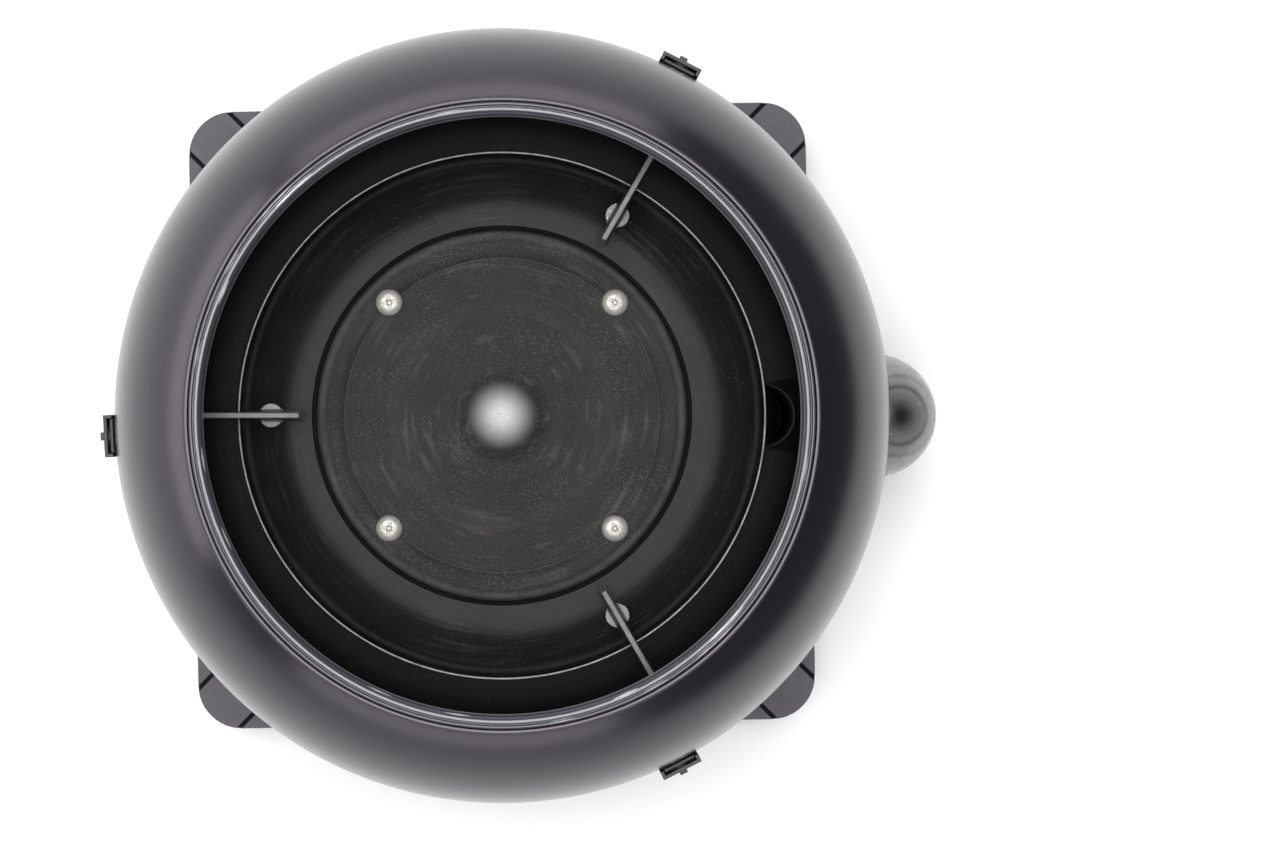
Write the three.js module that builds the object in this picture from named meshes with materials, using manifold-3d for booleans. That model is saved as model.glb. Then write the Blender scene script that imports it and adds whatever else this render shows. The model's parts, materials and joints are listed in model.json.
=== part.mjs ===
// A kitchen garbage disposal: a bulb-shaped body on a square base, with a concave
// grinding bowl, a spinning grind plate, three breaker vanes and a side outlet.
// Millimetres, +Z up. The origin is the middle of the underside, on the surface it stands on.
import * as THREE from 'three';
import { mergeVertices } from 'three/addons/utils/BufferGeometryUtils.js';
import Module from 'manifold-3d';

const wasm = await Module();
wasm.setup();

// Overall sizes.
const RIM_HEIGHT = 208;
const SEAM_HEIGHT = 141;
const BODY_RADIUS = 136.1;
const FOOT_RADIUS = 98.6;
const MOUTH_RADIUS = 99.6;
const BASE_WIDTH = 240;
const BASE_HEIGHT = 32;
const BASE_TURN = THREE.MathUtils.degToRad(1);

// Fits.
const GAP = 0.3;
const RUNNING_GAP = 1;

// Shells. The outline is two quarter ellipses that share the centre radius.
const CROWN_CENTRE = 62;
const SHELL_WALL = 3.6;
const SHELL_LIP = 0.6;
const RIM_WIDTH = 4.5;
const RIM_PROUD = 1.4;
const RIM_DEPTH = 7.7;
const RIM_CHAMFER = 0.9;
const SHELF_WIDTH = 3.1;
const SHELF_THICK = 3;
const LEDGE_WIDTH = 5;
const LEDGE_THICK = 4;
const FLOOR_HOLE_RADIUS = 50;

// Drain deck, with a recessed middle under the grind plate.
const GUTTER_DROP = 7;
const DECK_THICK = 3;
const DECK_RIM_RISE = 5;
const DECK_RIM_WALL = 2.4;
const PAN_MARGIN = 10.1;
const PAN_DROP = 10;
const PORT_MARGIN = 15.5;
const PORT_RADIUS = 10.5;
const PORT_SPIGOT_WALL = 1.7;
const PORT_SPIGOT_DROP = 6;

// Grinding bowl.
const BOWL_WIDTH = 24.1;
const CREST_RISE = 12;
const CREST_FLAT = 0.9;
const BOWL_INNER_RADIUS = 67.4;
const BOWL_DEPTH = 16.5;
const BOWL_WALL = 3;
const BOWL_SKIRT_WALL = 5;

// Grind plate and what carries it.
const PLATE_THICK = 6;
const PLATE_EDGE_ROUND = 3.6;
const PLATE_EDGE_WIDTH = 5.2;
const PLATE_SINK = 0.2;
const DOME_RADIUS = 14;
const DOME_RISE = 4;
const SCREW_EDGE_MARGIN = 9.7;
const SCREW_HEAD_RADIUS = 4.75;
const SCREW_HEAD_HEIGHT = 2.8;
const SCREW_SHANK_RADIUS = 2.4;
const HUB_FLANGE_THICK = 2.5;
const HUB_FLANGE_MARGIN = 4.5;
const HUB_BOSS_RADIUS = 11;
const HUB_BOSS_DROP = 15;
const SEAL_WIDTH = 2.4;
const SHAFT_RADIUS = 6;

// Breaker vanes and their studs.
const VANE_ANGLES = [60, 180, 300];
const VANE_MARGIN = 2.6;
const VANE_TOP_RISE = 27;
const VANE_FOOT_THICK = 3.8;
const VANE_TOP_SHARE = 0.45;
const STUD_MARGIN = 14.1;
const STUD_RADIUS = 4.25;
const STUD_PROUD = 2.5;
const STUD_DROP = 4.9;

// Latches that clamp the upper shell to the lower shell.
const LATCH_ANGLES = [63, 183, 297];
const LATCH_WIDTH = 14.8;
const LATCH_PLATE = 1.2;
const LATCH_STANDOFF = 2.3;
const LATCH_PIVOT_DROP = 19;
const LATCH_PIVOT_OUT = 1.8;
const LATCH_RISE = 9;
const CHEEK_WALL = 1.2;
const CHEEK_END_RADIUS = 2.2;
const PIN_RADIUS = 1;
const KNUCKLE_RADIUS = 1.8;
const BRACKET_PLATE = 1.1;
const NIB_WIDTH = 2.9;
const NIB_HEIGHT = 3;
const NIB_PROUD = 1.6;
const NIB_RISE = 4.5;
const WINDOW_MARGIN = 0.9;

// Drain run and outlet.
const OUTLET_HEIGHT = 78;
const DRAIN_WALL = 1.8;
const PIPE_RADIUS = 12;
const PIPE_WALL = 2;
const SOCKET_DEPTH = 5;
const SOCKET_CLEARANCE = 2.5;
const GASKET_WIDTH = 4;
const BALL_RADIUS = 23;
const BALL_SEAT = 13;
const LEG_RADIUS = 16.5;
const LEG_DROP = 28;
const TAIL_RADIUS = 14;
const TAIL_WALL = 2.5;
const TAIL_CLEARANCE = 5;
const TAIL_INSERT = 12;
const TAIL_END_HEIGHT = 30;
const CLAMP_WALL = 1;
const CLAMP_HEIGHT = 8;
const CLAMP_LIFT = 1;
const CLAMP_SCREW_ANGLE = 75;
const CLAMP_SCREW_RADIUS = 2;

// Base.
const BASE_CORNER_RADIUS = 17;
const BASE_WALL = 3;
const COVER_RADIUS = 95;
const COVER_THICK = 2.7;
const COVER_LIFT = 1;
const COVER_OVERLAP = 5;
const BASE_TOP_HOLE_RADIUS = 45;
const GROOVE_SPACING = 22;
const GROOVE_WIDTH = 1.6;
const GROOVE_DEPTH = 1;
const GROOVE_LENGTH = 45;
const FOOT_INSET = 23;
const FOOT_PAD_RADIUS = 9;
const FOOT_STEM_RADIUS = 3.7;

// Motor.
const STATOR_RADIUS = 62;
const ROTOR_RADIUS = 33;
const AIR_GAP = 0.8;
const STACK_HEIGHT = 40;
const WINDING_HEIGHT = 8.5;
const WINDING_INNER_RADIUS = 37;
const WINDING_OUTER_RADIUS = 54;
const STATOR_SLOTS = 12;
const SLOT_DEPTH = 14;
const BELL_RADIUS = 69;
const BELL_THICK = 4;
const BELL_WALL = 3.5;
const BEARING_RADIUS = 13;
const BEARING_WIDTH = 7;
const BOLT_ANGLES = [90, 270];
const BOLT_REACH = 65.6;
const BOLT_RADIUS = 2.2;
const BOLT_HEAD_RADIUS = 3.2;
const BOLT_HEAD_HEIGHT = 3;
const WING_COUNT = 8;
const WING_SIZE = [14, 2, 6];

// Switch gear in the base.
const BUTTON_REACH = -60;
const BUTTON_RADIUS = 5;
const BUTTON_SHOULDER = 1.8;
const BUTTON_RECESS = 0.5;
const BUTTON_STEM_RADIUS = 2;
const BUTTON_TRAVEL = 2.5;
const SPRING_WIRE_RADIUS = 0.5;
const SPRING_RADIUS = 3.6;
const SPRING_TURNS = 5;
const SWITCH_SIZE = [24, 18, 12];
const CAPACITOR_RADIUS = 9.5;
const CAPACITOR_LENGTH = 54;
const CAPACITOR_PLACE = [-64, 20];
const CLIP_WALL = 1.2;
const CLIP_WIDTH = 9;
const INLET_SIZE = [27, 19.5];
const INLET_FLANGE = 2.5;
const INLET_DEPTH = 17;
const INLET_CAVITY_WALL = 2.2;
const INLET_PIN = [2, 1.2, 9];

// How finely the round pieces are cut.
const LARGE_ROUND = 36;
const MEDIUM_ROUND = 20;
const SMALL_ROUND = 12;
const ARC_STEPS = 6;

// Levels and radii that follow from the sizes above.
const RIM_OUTER_RADIUS = MOUTH_RADIUS + RIM_WIDTH;
const CREST_RADIUS = BOWL_INNER_RADIUS + BOWL_WIDTH;
const PAN_RADIUS = BOWL_INNER_RADIUS + PAN_MARGIN;
const VANE_INNER_RADIUS = BOWL_INNER_RADIUS + VANE_MARGIN;
const STUD_REACH = BOWL_INNER_RADIUS + STUD_MARGIN;
const SHELL_TOP = RIM_HEIGHT - RIM_PROUD;
const SHELF_TOP = RIM_HEIGHT - RIM_DEPTH - GAP;
const SHELL_BOTTOM = BASE_HEIGHT + GAP;
const FLOOR_TOP = SHELL_BOTTOM + SHELL_WALL;
const DECK_TOP = SEAM_HEIGHT - GUTTER_DROP;
const DECK_BOTTOM = DECK_TOP - DECK_THICK;
const PAN_TOP = DECK_TOP - PAN_DROP;
const PAN_BOTTOM = PAN_TOP - DECK_THICK;
const CREST_HEIGHT = SEAM_HEIGHT + CREST_RISE;
const BOWL_LOW = CREST_HEIGHT - BOWL_DEPTH;
const PLATE_RADIUS = BOWL_INNER_RADIUS - RUNNING_GAP;
const PLATE_TOP = DECK_TOP - PLATE_SINK;
const PLATE_BOTTOM = PLATE_TOP - PLATE_THICK;
const HUB_TOP = PLATE_BOTTOM - GAP;
const HUB_HOLE_RADIUS = HUB_BOSS_RADIUS + RUNNING_GAP / 2 + SEAL_WIDTH + GAP;
const STACK_BOTTOM = FLOOR_TOP + BELL_THICK + WINDING_HEIGHT + BEARING_WIDTH;
const STACK_TOP = STACK_BOTTOM + STACK_HEIGHT;
const LOWER_BELL_TOP = STACK_BOTTOM - WINDING_HEIGHT - 2 * GAP;
const UPPER_BELL_BOTTOM = STACK_TOP + WINDING_HEIGHT + 2 * GAP;
const BASE_FLOOR = COVER_LIFT + COVER_THICK + GAP;
const BASE_CEILING = BASE_HEIGHT - BASE_WALL;

function ellipseHalfHeight(reach, radius) {
  const share = (radius - CROWN_CENTRE) / (BODY_RADIUS - CROWN_CENTRE);
  return reach / Math.sqrt(1 - share * share);
}

const CROWN_RISE = ellipseHalfHeight(SHELL_TOP - SEAM_HEIGHT, RIM_OUTER_RADIUS + GAP + SHELL_LIP);
const CROWN_DROP = ellipseHalfHeight(SEAM_HEIGHT - SHELL_BOTTOM, FOOT_RADIUS);

// The radius of the shell's outline at a height, moved inwards by inset.
function shellRadius(height, inset = 0) {
  const halfHeight = (height > SEAM_HEIGHT ? CROWN_RISE : CROWN_DROP) - inset;
  const rise = Math.abs(height - SEAM_HEIGHT) / halfHeight;
  return CROWN_CENTRE + (BODY_RADIUS - CROWN_CENTRE - inset) * Math.sqrt(1 - rise * rise);
}

const DECK_RADIUS = shellRadius(DECK_BOTTOM, SHELL_WALL) - GAP;

// The port stands just outside the pan, or as far out as the motor leaves room for the well under it.
const DRAIN_INNER_RADIUS = PORT_RADIUS + PORT_SPIGOT_WALL + GAP;
const DRAIN_RADIUS = DRAIN_INNER_RADIUS + DRAIN_WALL;
const BRANCH_RADIUS = Math.max(DRAIN_RADIUS, PIPE_RADIUS + GAP + DRAIN_WALL);
const WELL_BOTTOM = OUTLET_HEIGHT - BRANCH_RADIUS - GAP;
const PORT_REACH = Math.max(PAN_RADIUS + PORT_MARGIN, BELL_RADIUS + DRAIN_RADIUS + RUNNING_GAP);
const SOCKET_END = shellRadius(OUTLET_HEIGHT - PIPE_RADIUS - GASKET_WIDTH, SHELL_WALL) - SOCKET_CLEARANCE;

// The same outline as points from one height to another, even in angle.
function shellArc(from, to, inset, steps = ARC_STEPS) {
  const middle = (from + to) / 2;
  const halfHeight = (middle > SEAM_HEIGHT ? CROWN_RISE : CROWN_DROP) - inset;
  const halfWidth = BODY_RADIUS - CROWN_CENTRE - inset;
  const start = Math.asin((from - SEAM_HEIGHT) / halfHeight);
  const end = Math.asin((to - SEAM_HEIGHT) / halfHeight);
  return arcPoints(CROWN_CENTRE, SEAM_HEIGHT, halfWidth, halfHeight, start, end, steps);
}

function arcPoints(centreX, centreY, halfWidth, halfHeight, start, end, steps) {
  const points = [];
  for (let step = 0; step <= steps; step += 1) {
    const angle = start + ((end - start) * step) / steps;
    points.push([centreX + halfWidth * Math.cos(angle), centreY + halfHeight * Math.sin(angle)]);
  }
  return points;
}

// The height of the bowl's concave face at a radius.
function bowlHeight(radius) {
  const share = (radius - BOWL_INNER_RADIUS) / (CREST_RADIUS - BOWL_INNER_RADIUS);
  return CREST_HEIGHT - BOWL_DEPTH * Math.sqrt(Math.max(0, 1 - share * share));
}

// Geometry to solid and back.
function solidFrom(geometry) {
  geometry.deleteAttribute('normal');
  geometry.deleteAttribute('uv');
  const merged = mergeVertices(geometry, 1e-4);
  const corners = merged.index.array;
  const kept = [];
  for (let i = 0; i < corners.length; i += 3) {
    const [a, b, c] = [corners[i], corners[i + 1], corners[i + 2]];
    if (a !== b && b !== c && a !== c) {
      kept.push(a, b, c);
    }
  }
  const vertProperties = new Float32Array(merged.attributes.position.array);
  return new wasm.Manifold(new wasm.Mesh({ numProp: 3, vertProperties, triVerts: new Uint32Array(kept) }));
}

function geometryFrom(solid) {
  const mesh = solid.getMesh();
  const geometry = new THREE.BufferGeometry();
  geometry.setAttribute('position', new THREE.BufferAttribute(mesh.vertProperties, 3));
  geometry.setIndex(new THREE.BufferAttribute(mesh.triVerts, 1));
  geometry.computeVertexNormals();
  return geometry;
}

// A profile of [radius, height] points, turned about the Z axis.
function revolve(profile, segments) {
  const loop = profile.map(([radius, height]) => new THREE.Vector2(radius, height));
  if (THREE.ShapeUtils.isClockWise(loop)) {
    loop.reverse();
  }
  loop.push(loop[0].clone());
  const geometry = new THREE.LatheGeometry(loop, segments);
  geometry.rotateX(Math.PI / 2);
  return solidFrom(geometry);
}

function ring(outer, inner, low, high, segments) {
  return revolve([[inner, low], [outer, low], [outer, high], [inner, high]], segments);
}

function rod(radius, low, high, segments = SMALL_ROUND) {
  return ring(radius, 0, low, high, segments);
}

function block(width, depth, height, x, y, z) {
  return solidFrom(new THREE.BoxGeometry(width, depth, height).translate(x, y, z));
}

// A flat outline, raised from one height to another.
function slab(shape, low, high, curveSegments = 6) {
  const options = { depth: high - low, bevelEnabled: false, curveSegments };
  return solidFrom(new THREE.ExtrudeGeometry(shape, options).translate(0, 0, low));
}

function roundedSquare(width, radius) {
  const half = width / 2;
  const centre = half - radius;
  const shape = new THREE.Shape();
  shape.absarc(centre, centre, radius, 0, Math.PI / 2);
  shape.absarc(-centre, centre, radius, Math.PI / 2, Math.PI);
  shape.absarc(-centre, -centre, radius, Math.PI, Math.PI * 1.5);
  shape.absarc(centre, -centre, radius, Math.PI * 1.5, Math.PI * 2);
  return shape;
}

// A rod or ring made along Z, laid along +X with its low end at x.
function alongX(solid, x, z) {
  return solid.rotate([0, 90, 0]).translate([x, 0, z]);
}

function alongY(solid, y, z) {
  return solid.rotate([-90, 0, 0]).translate([0, y, z]);
}

function aroundAxis(angleDegrees, radius) {
  const angle = THREE.MathUtils.degToRad(angleDegrees);
  return [radius * Math.cos(angle), radius * Math.sin(angle)];
}

// Colours and finishes.
const FINISHES = {
  shell: { color: 0x2b2b2f, roughness: 0.4, metalness: 0 },
  chamber: { color: 0x1d1c1e, roughness: 0.45, metalness: 0 },
  vane: { color: 0x34343a, roughness: 0.4, metalness: 0 },
  stud: { color: 0x6d6d70, roughness: 0.5, metalness: 0 },
  nickel: { color: 0xc9c4ba, roughness: 0.25, metalness: 1 },
  steel: { color: 0x9a9a9c, roughness: 0.35, metalness: 1 },
  aluminium: { color: 0xb4b6b8, roughness: 0.5, metalness: 1 },
  laminate: { color: 0x54565c, roughness: 0.6, metalness: 1 },
  copper: { color: 0xa85a2c, roughness: 0.4, metalness: 1 },
  brass: { color: 0xb08d4a, roughness: 0.35, metalness: 1 },
  rubber: { color: 0x1a1a1a, roughness: 0.85, metalness: 0 },
  red: { color: 0xb3201c, roughness: 0.4, metalness: 0 },
};

function addPiece(parent, name, solid, finish) {
  const material = new THREE.MeshStandardMaterial(FINISHES[finish]);
  const mesh = new THREE.Mesh(geometryFrom(solid), material);
  mesh.name = name;
  parent.add(mesh);
  return mesh;
}

// Everything inside the lower shell's outline, moved inwards by inset.
function lowerShellFill(inset) {
  const arc = shellArc(SHELL_BOTTOM, SEAM_HEIGHT, inset);
  return revolve([[0, SHELL_BOTTOM], ...arc, [0, SEAM_HEIGHT]], LARGE_ROUND);
}

function makeUpperShell() {
  const bottom = SEAM_HEIGHT + GAP / 2;
  const shelfBottom = SHELF_TOP - SHELF_THICK;
  const seatRadius = RIM_OUTER_RADIUS + GAP;
  const outside = shellArc(bottom, SHELL_TOP, 0);
  const collar = [
    [seatRadius, SHELL_TOP],
    [seatRadius, SHELF_TOP],
    [seatRadius - SHELF_WIDTH, SHELF_TOP],
    [seatRadius - SHELF_WIDTH, shelfBottom],
  ];
  const inside = shellArc(shelfBottom, bottom, SHELL_WALL);
  return revolve([...outside, ...collar, ...inside], LARGE_ROUND);
}

function makeRimRing() {
  const low = SHELF_TOP + GAP;
  const profile = [
    [MOUTH_RADIUS, low],
    [RIM_OUTER_RADIUS, low],
    [RIM_OUTER_RADIUS, RIM_HEIGHT - RIM_CHAMFER],
    [RIM_OUTER_RADIUS - RIM_CHAMFER, RIM_HEIGHT],
    [MOUTH_RADIUS + RIM_CHAMFER, RIM_HEIGHT],
    [MOUTH_RADIUS, RIM_HEIGHT - RIM_CHAMFER],
  ];
  return revolve(profile, LARGE_ROUND);
}

function makeLowerShell() {
  const top = SEAM_HEIGHT - GAP / 2;
  const ledgeTop = DECK_BOTTOM - GAP;
  const ledgeBottom = ledgeTop - LEDGE_THICK;
  const seatRadius = DECK_RADIUS + GAP;
  const ledgeRadius = seatRadius - LEDGE_WIDTH;
  const profile = [
    ...shellArc(SHELL_BOTTOM, top, 0),
    [seatRadius, top],
    [seatRadius, ledgeTop],
    [ledgeRadius, ledgeTop],
    [ledgeRadius, ledgeBottom],
    ...shellArc(ledgeBottom, FLOOR_TOP, SHELL_WALL),
    [FLOOR_HOLE_RADIUS, FLOOR_TOP],
    [FLOOR_HOLE_RADIUS, SHELL_BOTTOM],
  ];
  const hole = alongX(rod(PIPE_RADIUS + GAP, 0, BODY_RADIUS, MEDIUM_ROUND), PORT_REACH, OUTLET_HEIGHT);
  return revolve(profile, LARGE_ROUND).subtract(hole);
}

function makeDrainDeck() {
  const radius = DECK_RADIUS;
  const rimTop = DECK_TOP + DECK_RIM_RISE;
  const profile = [
    [HUB_HOLE_RADIUS, PAN_BOTTOM],
    [PAN_RADIUS, PAN_BOTTOM],
    [PAN_RADIUS, DECK_BOTTOM],
    [radius, DECK_BOTTOM],
    [radius, rimTop],
    [radius - DECK_RIM_WALL, rimTop],
    [radius - DECK_RIM_WALL, DECK_TOP],
    [PAN_RADIUS - DECK_THICK, DECK_TOP],
    [PAN_RADIUS - DECK_THICK, PAN_TOP],
    [HUB_HOLE_RADIUS, PAN_TOP],
  ];
  const spigotRadius = PORT_RADIUS + PORT_SPIGOT_WALL;
  const spigotLow = DECK_BOTTOM - PORT_SPIGOT_DROP;
  const spigot = rod(spigotRadius, spigotLow, DECK_TOP, MEDIUM_ROUND).translate([PORT_REACH, 0, 0]);
  const port = rod(PORT_RADIUS, spigotLow - 1, DECK_TOP + 1, MEDIUM_ROUND).translate([PORT_REACH, 0, 0]);
  return revolve(profile, LARGE_ROUND).add(spigot).subtract(port);
}

function makeGrindingBowl() {
  const width = CREST_RADIUS - BOWL_INNER_RADIUS;
  const skirtOuter = PAN_RADIUS - DECK_THICK - GAP;
  const skirtInner = skirtOuter - BOWL_SKIRT_WALL;
  const underStart = Math.asin((skirtOuter - BOWL_INNER_RADIUS) / (width + BOWL_WALL)) - Math.PI / 2;
  const lipRadius = CREST_RADIUS + CREST_FLAT;
  const underEnd = -Math.acos((lipRadius - BOWL_INNER_RADIUS) / (width + BOWL_WALL));
  const under = arcPoints(
    BOWL_INNER_RADIUS,
    CREST_HEIGHT,
    width + BOWL_WALL,
    BOWL_DEPTH + BOWL_WALL,
    underStart,
    underEnd,
    ARC_STEPS / 2,
  );
  const dish = arcPoints(BOWL_INNER_RADIUS, CREST_HEIGHT, width, BOWL_DEPTH, 0, -Math.PI / 2, ARC_STEPS);
  const profile = [
    [skirtInner, PAN_TOP + GAP],
    [skirtOuter, PAN_TOP + GAP],
    ...under,
    [lipRadius, CREST_HEIGHT],
    ...dish,
    [BOWL_INNER_RADIUS, BOWL_LOW - BOWL_WALL],
    [skirtInner, BOWL_LOW - BOWL_WALL],
  ];
  let bowl = revolve(profile, LARGE_ROUND);
  for (const angle of VANE_ANGLES) {
    const [x, y] = aroundAxis(angle, STUD_REACH);
    bowl = bowl.subtract(rod(STUD_RADIUS + GAP, PAN_TOP, CREST_HEIGHT).translate([x, y, 0]));
  }
  return bowl;
}

function screwPlaces() {
  const half = (PLATE_RADIUS - SCREW_EDGE_MARGIN) / Math.SQRT2;
  return [[-half, half], [half, half], [half, -half], [-half, -half]];
}

function drillForScrews(solid) {
  let drilled = solid;
  for (const [x, y] of screwPlaces()) {
    drilled = drilled.subtract(rod(SCREW_SHANK_RADIUS + GAP, 0, RIM_HEIGHT, 12).translate([x, y, 0]));
  }
  return drilled;
}

function makeGrindPlate() {
  const flatRadius = PLATE_RADIUS - PLATE_EDGE_WIDTH;
  const edgeCentre = PLATE_TOP - PLATE_EDGE_ROUND;
  const edge = arcPoints(flatRadius, edgeCentre, PLATE_EDGE_WIDTH, PLATE_EDGE_ROUND, 0, Math.PI / 2, 4);
  const dome = arcPoints(0, PLATE_TOP, DOME_RADIUS, DOME_RISE, 0, Math.PI / 2, 4);
  const profile = [[0, PLATE_BOTTOM], [PLATE_RADIUS, PLATE_BOTTOM], ...edge, ...dome];
  return drillForScrews(revolve(profile, LARGE_ROUND));
}

function makePlateScrew() {
  const under = PLATE_TOP + GAP;
  const low = HUB_TOP - HUB_FLANGE_THICK;
  const head = arcPoints(0, under, SCREW_HEAD_RADIUS, SCREW_HEAD_HEIGHT, 0, Math.PI / 2, 4);
  const profile = [[0, low], [SCREW_SHANK_RADIUS, low], [SCREW_SHANK_RADIUS, under], ...head];
  const slot = SCREW_HEAD_RADIUS * 1.1;
  const cross = block(slot, 1.1, 2, 0, 0, under + SCREW_HEAD_HEIGHT);
  return revolve(profile, SMALL_ROUND).subtract(cross).subtract(cross.rotate([0, 0, 90]));
}

function makePlateHub() {
  const flangeRadius = PLATE_RADIUS - HUB_FLANGE_MARGIN;
  const profile = [
    [SHAFT_RADIUS + GAP, HUB_TOP - HUB_BOSS_DROP],
    [HUB_BOSS_RADIUS, HUB_TOP - HUB_BOSS_DROP],
    [HUB_BOSS_RADIUS, HUB_TOP - HUB_FLANGE_THICK],
    [flangeRadius, HUB_TOP - HUB_FLANGE_THICK],
    [flangeRadius, HUB_TOP],
    [SHAFT_RADIUS + GAP, HUB_TOP],
  ];
  return drillForScrews(revolve(profile, MEDIUM_ROUND));
}

function makeShaftSeal() {
  const inner = HUB_BOSS_RADIUS + RUNNING_GAP / 2;
  return ring(inner + SEAL_WIDTH, inner, PAN_BOTTOM, PAN_TOP - GAP, MEDIUM_ROUND);
}

// A vane lies along +X: thin on top, thicker at the foot that follows the bowl.
function makeVane() {
  const top = SEAM_HEIGHT + VANE_TOP_RISE;
  const shape = new THREE.Shape();
  shape.moveTo(VANE_INNER_RADIUS, top);
  const footPoints = 6;
  for (let step = 0; step <= footPoints; step += 1) {
    const radius = VANE_INNER_RADIUS + ((CREST_RADIUS - VANE_INNER_RADIUS) * step) / footPoints;
    shape.lineTo(radius - GAP, bowlHeight(radius) + GAP);
  }
  const crossing = CREST_HEIGHT + GAP;
  shape.lineTo(shellRadius(crossing, SHELL_WALL + GAP), crossing);
  shape.lineTo(shellRadius(top, SHELL_WALL + GAP), top);
  const geometry = new THREE.ExtrudeGeometry(shape, { depth: VANE_FOOT_THICK, bevelEnabled: false });
  geometry.translate(0, 0, -VANE_FOOT_THICK / 2);
  geometry.rotateX(Math.PI / 2);
  const place = geometry.attributes.position;
  for (let i = 0; i < place.count; i += 1) {
    const rise = (place.getZ(i) - BOWL_LOW) / (top - BOWL_LOW);
    place.setY(i, place.getY(i) * THREE.MathUtils.lerp(1, VANE_TOP_SHARE, rise));
  }
  return solidFrom(geometry);
}

function makeVaneStud() {
  const seat = bowlHeight(STUD_REACH);
  const slotFloor = bowlHeight(STUD_REACH - STUD_RADIUS) - GAP;
  const stud = rod(STUD_RADIUS, seat - STUD_DROP, seat + STUD_PROUD);
  const slotHeight = seat + STUD_PROUD + 1 - slotFloor;
  const slotWidth = VANE_FOOT_THICK + 2 * GAP;
  return stud.subtract(block(3 * STUD_RADIUS, slotWidth, slotHeight, 0, 0, slotFloor + slotHeight / 2));
}

// Latch pieces are made with the body's axis at x = 0 and the latch facing +X.
function latchPivot() {
  return [BODY_RADIUS + LATCH_PIVOT_OUT, SEAM_HEIGHT - LATCH_PIVOT_DROP];
}

function tangentRod(radius, length, x, z) {
  return alongY(rod(radius, -length / 2, length / 2, 12), 0, 0).translate([x, 0, z]);
}

function makeLatchHasp() {
  const [pivotX, pivotZ] = latchPivot();
  const inner = BODY_RADIUS + LATCH_STANDOFF;
  const top = SEAM_HEIGHT + LATCH_RISE;
  const plateLow = pivotZ + KNUCKLE_RADIUS + 2 * GAP;
  const plate = block(LATCH_PLATE, LATCH_WIDTH, top - plateLow, inner + LATCH_PLATE / 2, 0, (top + plateLow) / 2);
  const cheekInner = BODY_RADIUS + 2 * GAP;
  const cheekWidth = inner + LATCH_PLATE - cheekInner;
  let hasp = plate;
  for (const side of [-1, 1]) {
    const y = (side * (LATCH_WIDTH - CHEEK_WALL)) / 2;
    const cheek = block(cheekWidth, CHEEK_WALL, top - pivotZ, cheekInner + cheekWidth / 2, y, (top + pivotZ) / 2);
    const eye = tangentRod(CHEEK_END_RADIUS, CHEEK_WALL, pivotX, pivotZ).translate([0, y, 0]);
    hasp = hasp.add(cheek).add(eye);
  }
  const nibHeight = NIB_HEIGHT + 2 * WINDOW_MARGIN;
  const nibWidth = NIB_WIDTH + 2 * WINDOW_MARGIN;
  const window = block(3 * LATCH_STANDOFF, nibWidth, nibHeight, inner, 0, SEAM_HEIGHT + NIB_RISE);
  return hasp.subtract(window).subtract(tangentRod(PIN_RADIUS + GAP, 2 * LATCH_WIDTH, pivotX, pivotZ));
}

function makeLatchPin() {
  const [pivotX, pivotZ] = latchPivot();
  return tangentRod(PIN_RADIUS, LATCH_WIDTH + 1, pivotX, pivotZ);
}

function makeLatchBracket() {
  const [pivotX, pivotZ] = latchPivot();
  const width = LATCH_WIDTH - 2 * CHEEK_WALL - 2 * GAP;
  const inner = BODY_RADIUS + GAP;
  const height = 12;
  const plate = block(BRACKET_PLATE, width, height, inner + BRACKET_PLATE / 2, 0, pivotZ);
  const knuckle = tangentRod(KNUCKLE_RADIUS, width, pivotX, pivotZ);
  return plate.add(knuckle).subtract(tangentRod(PIN_RADIUS + GAP, 2 * width, pivotX, pivotZ));
}

function makeLatchCatch() {
  const width = LATCH_WIDTH - 2 * CHEEK_WALL - 2 * GAP;
  const inner = BODY_RADIUS + GAP;
  const outer = BODY_RADIUS + LATCH_STANDOFF + LATCH_PLATE + NIB_PROUD;
  const height = SEAM_HEIGHT + NIB_RISE;
  const plate = block(BRACKET_PLATE, width, 2 * NIB_HEIGHT, inner + BRACKET_PLATE / 2, 0, height);
  const nib = block(outer - inner, NIB_WIDTH, NIB_HEIGHT, (outer + inner) / 2, 0, height);
  return plate.add(nib);
}

// Drain run: a well under the port, a pipe through the shell and a ball-shaped elbow.
const PIPE_START = SOCKET_END - SOCKET_DEPTH + GAP;
const LEG_REACH = Math.max(
  shellRadius(OUTLET_HEIGHT) + BALL_SEAT,
  BASE_WIDTH / 2 + TAIL_RADIUS + TAIL_CLEARANCE,
);
const PIPE_END = LEG_REACH - TAIL_RADIUS + BALL_RADIUS - LEG_RADIUS;
const LEG_BOTTOM = OUTLET_HEIGHT - LEG_DROP;

function makeDrainWell() {
  const bore = PIPE_RADIUS - PIPE_WALL;
  const low = WELL_BOTTOM;
  const high = DECK_BOTTOM - GAP;
  const branchLength = SOCKET_END - PORT_REACH;
  const well = rod(DRAIN_RADIUS, low, high, MEDIUM_ROUND).translate([PORT_REACH, 0, 0]);
  const branch = alongX(rod(BRANCH_RADIUS, 0, branchLength, MEDIUM_ROUND), PORT_REACH, OUTLET_HEIGHT);
  const wellBore = rod(DRAIN_INNER_RADIUS, low + DRAIN_WALL, high + 1, MEDIUM_ROUND).translate([PORT_REACH, 0, 0]);
  const branchBore = alongX(rod(bore, 0, branchLength, MEDIUM_ROUND), PORT_REACH, OUTLET_HEIGHT);
  const socketBore = rod(PIPE_RADIUS + GAP, 0, SOCKET_DEPTH + 1, MEDIUM_ROUND);
  const socket = alongX(socketBore, SOCKET_END - SOCKET_DEPTH, OUTLET_HEIGHT);
  return well.add(branch).subtract(wellBore).subtract(branchBore).subtract(socket);
}

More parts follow.
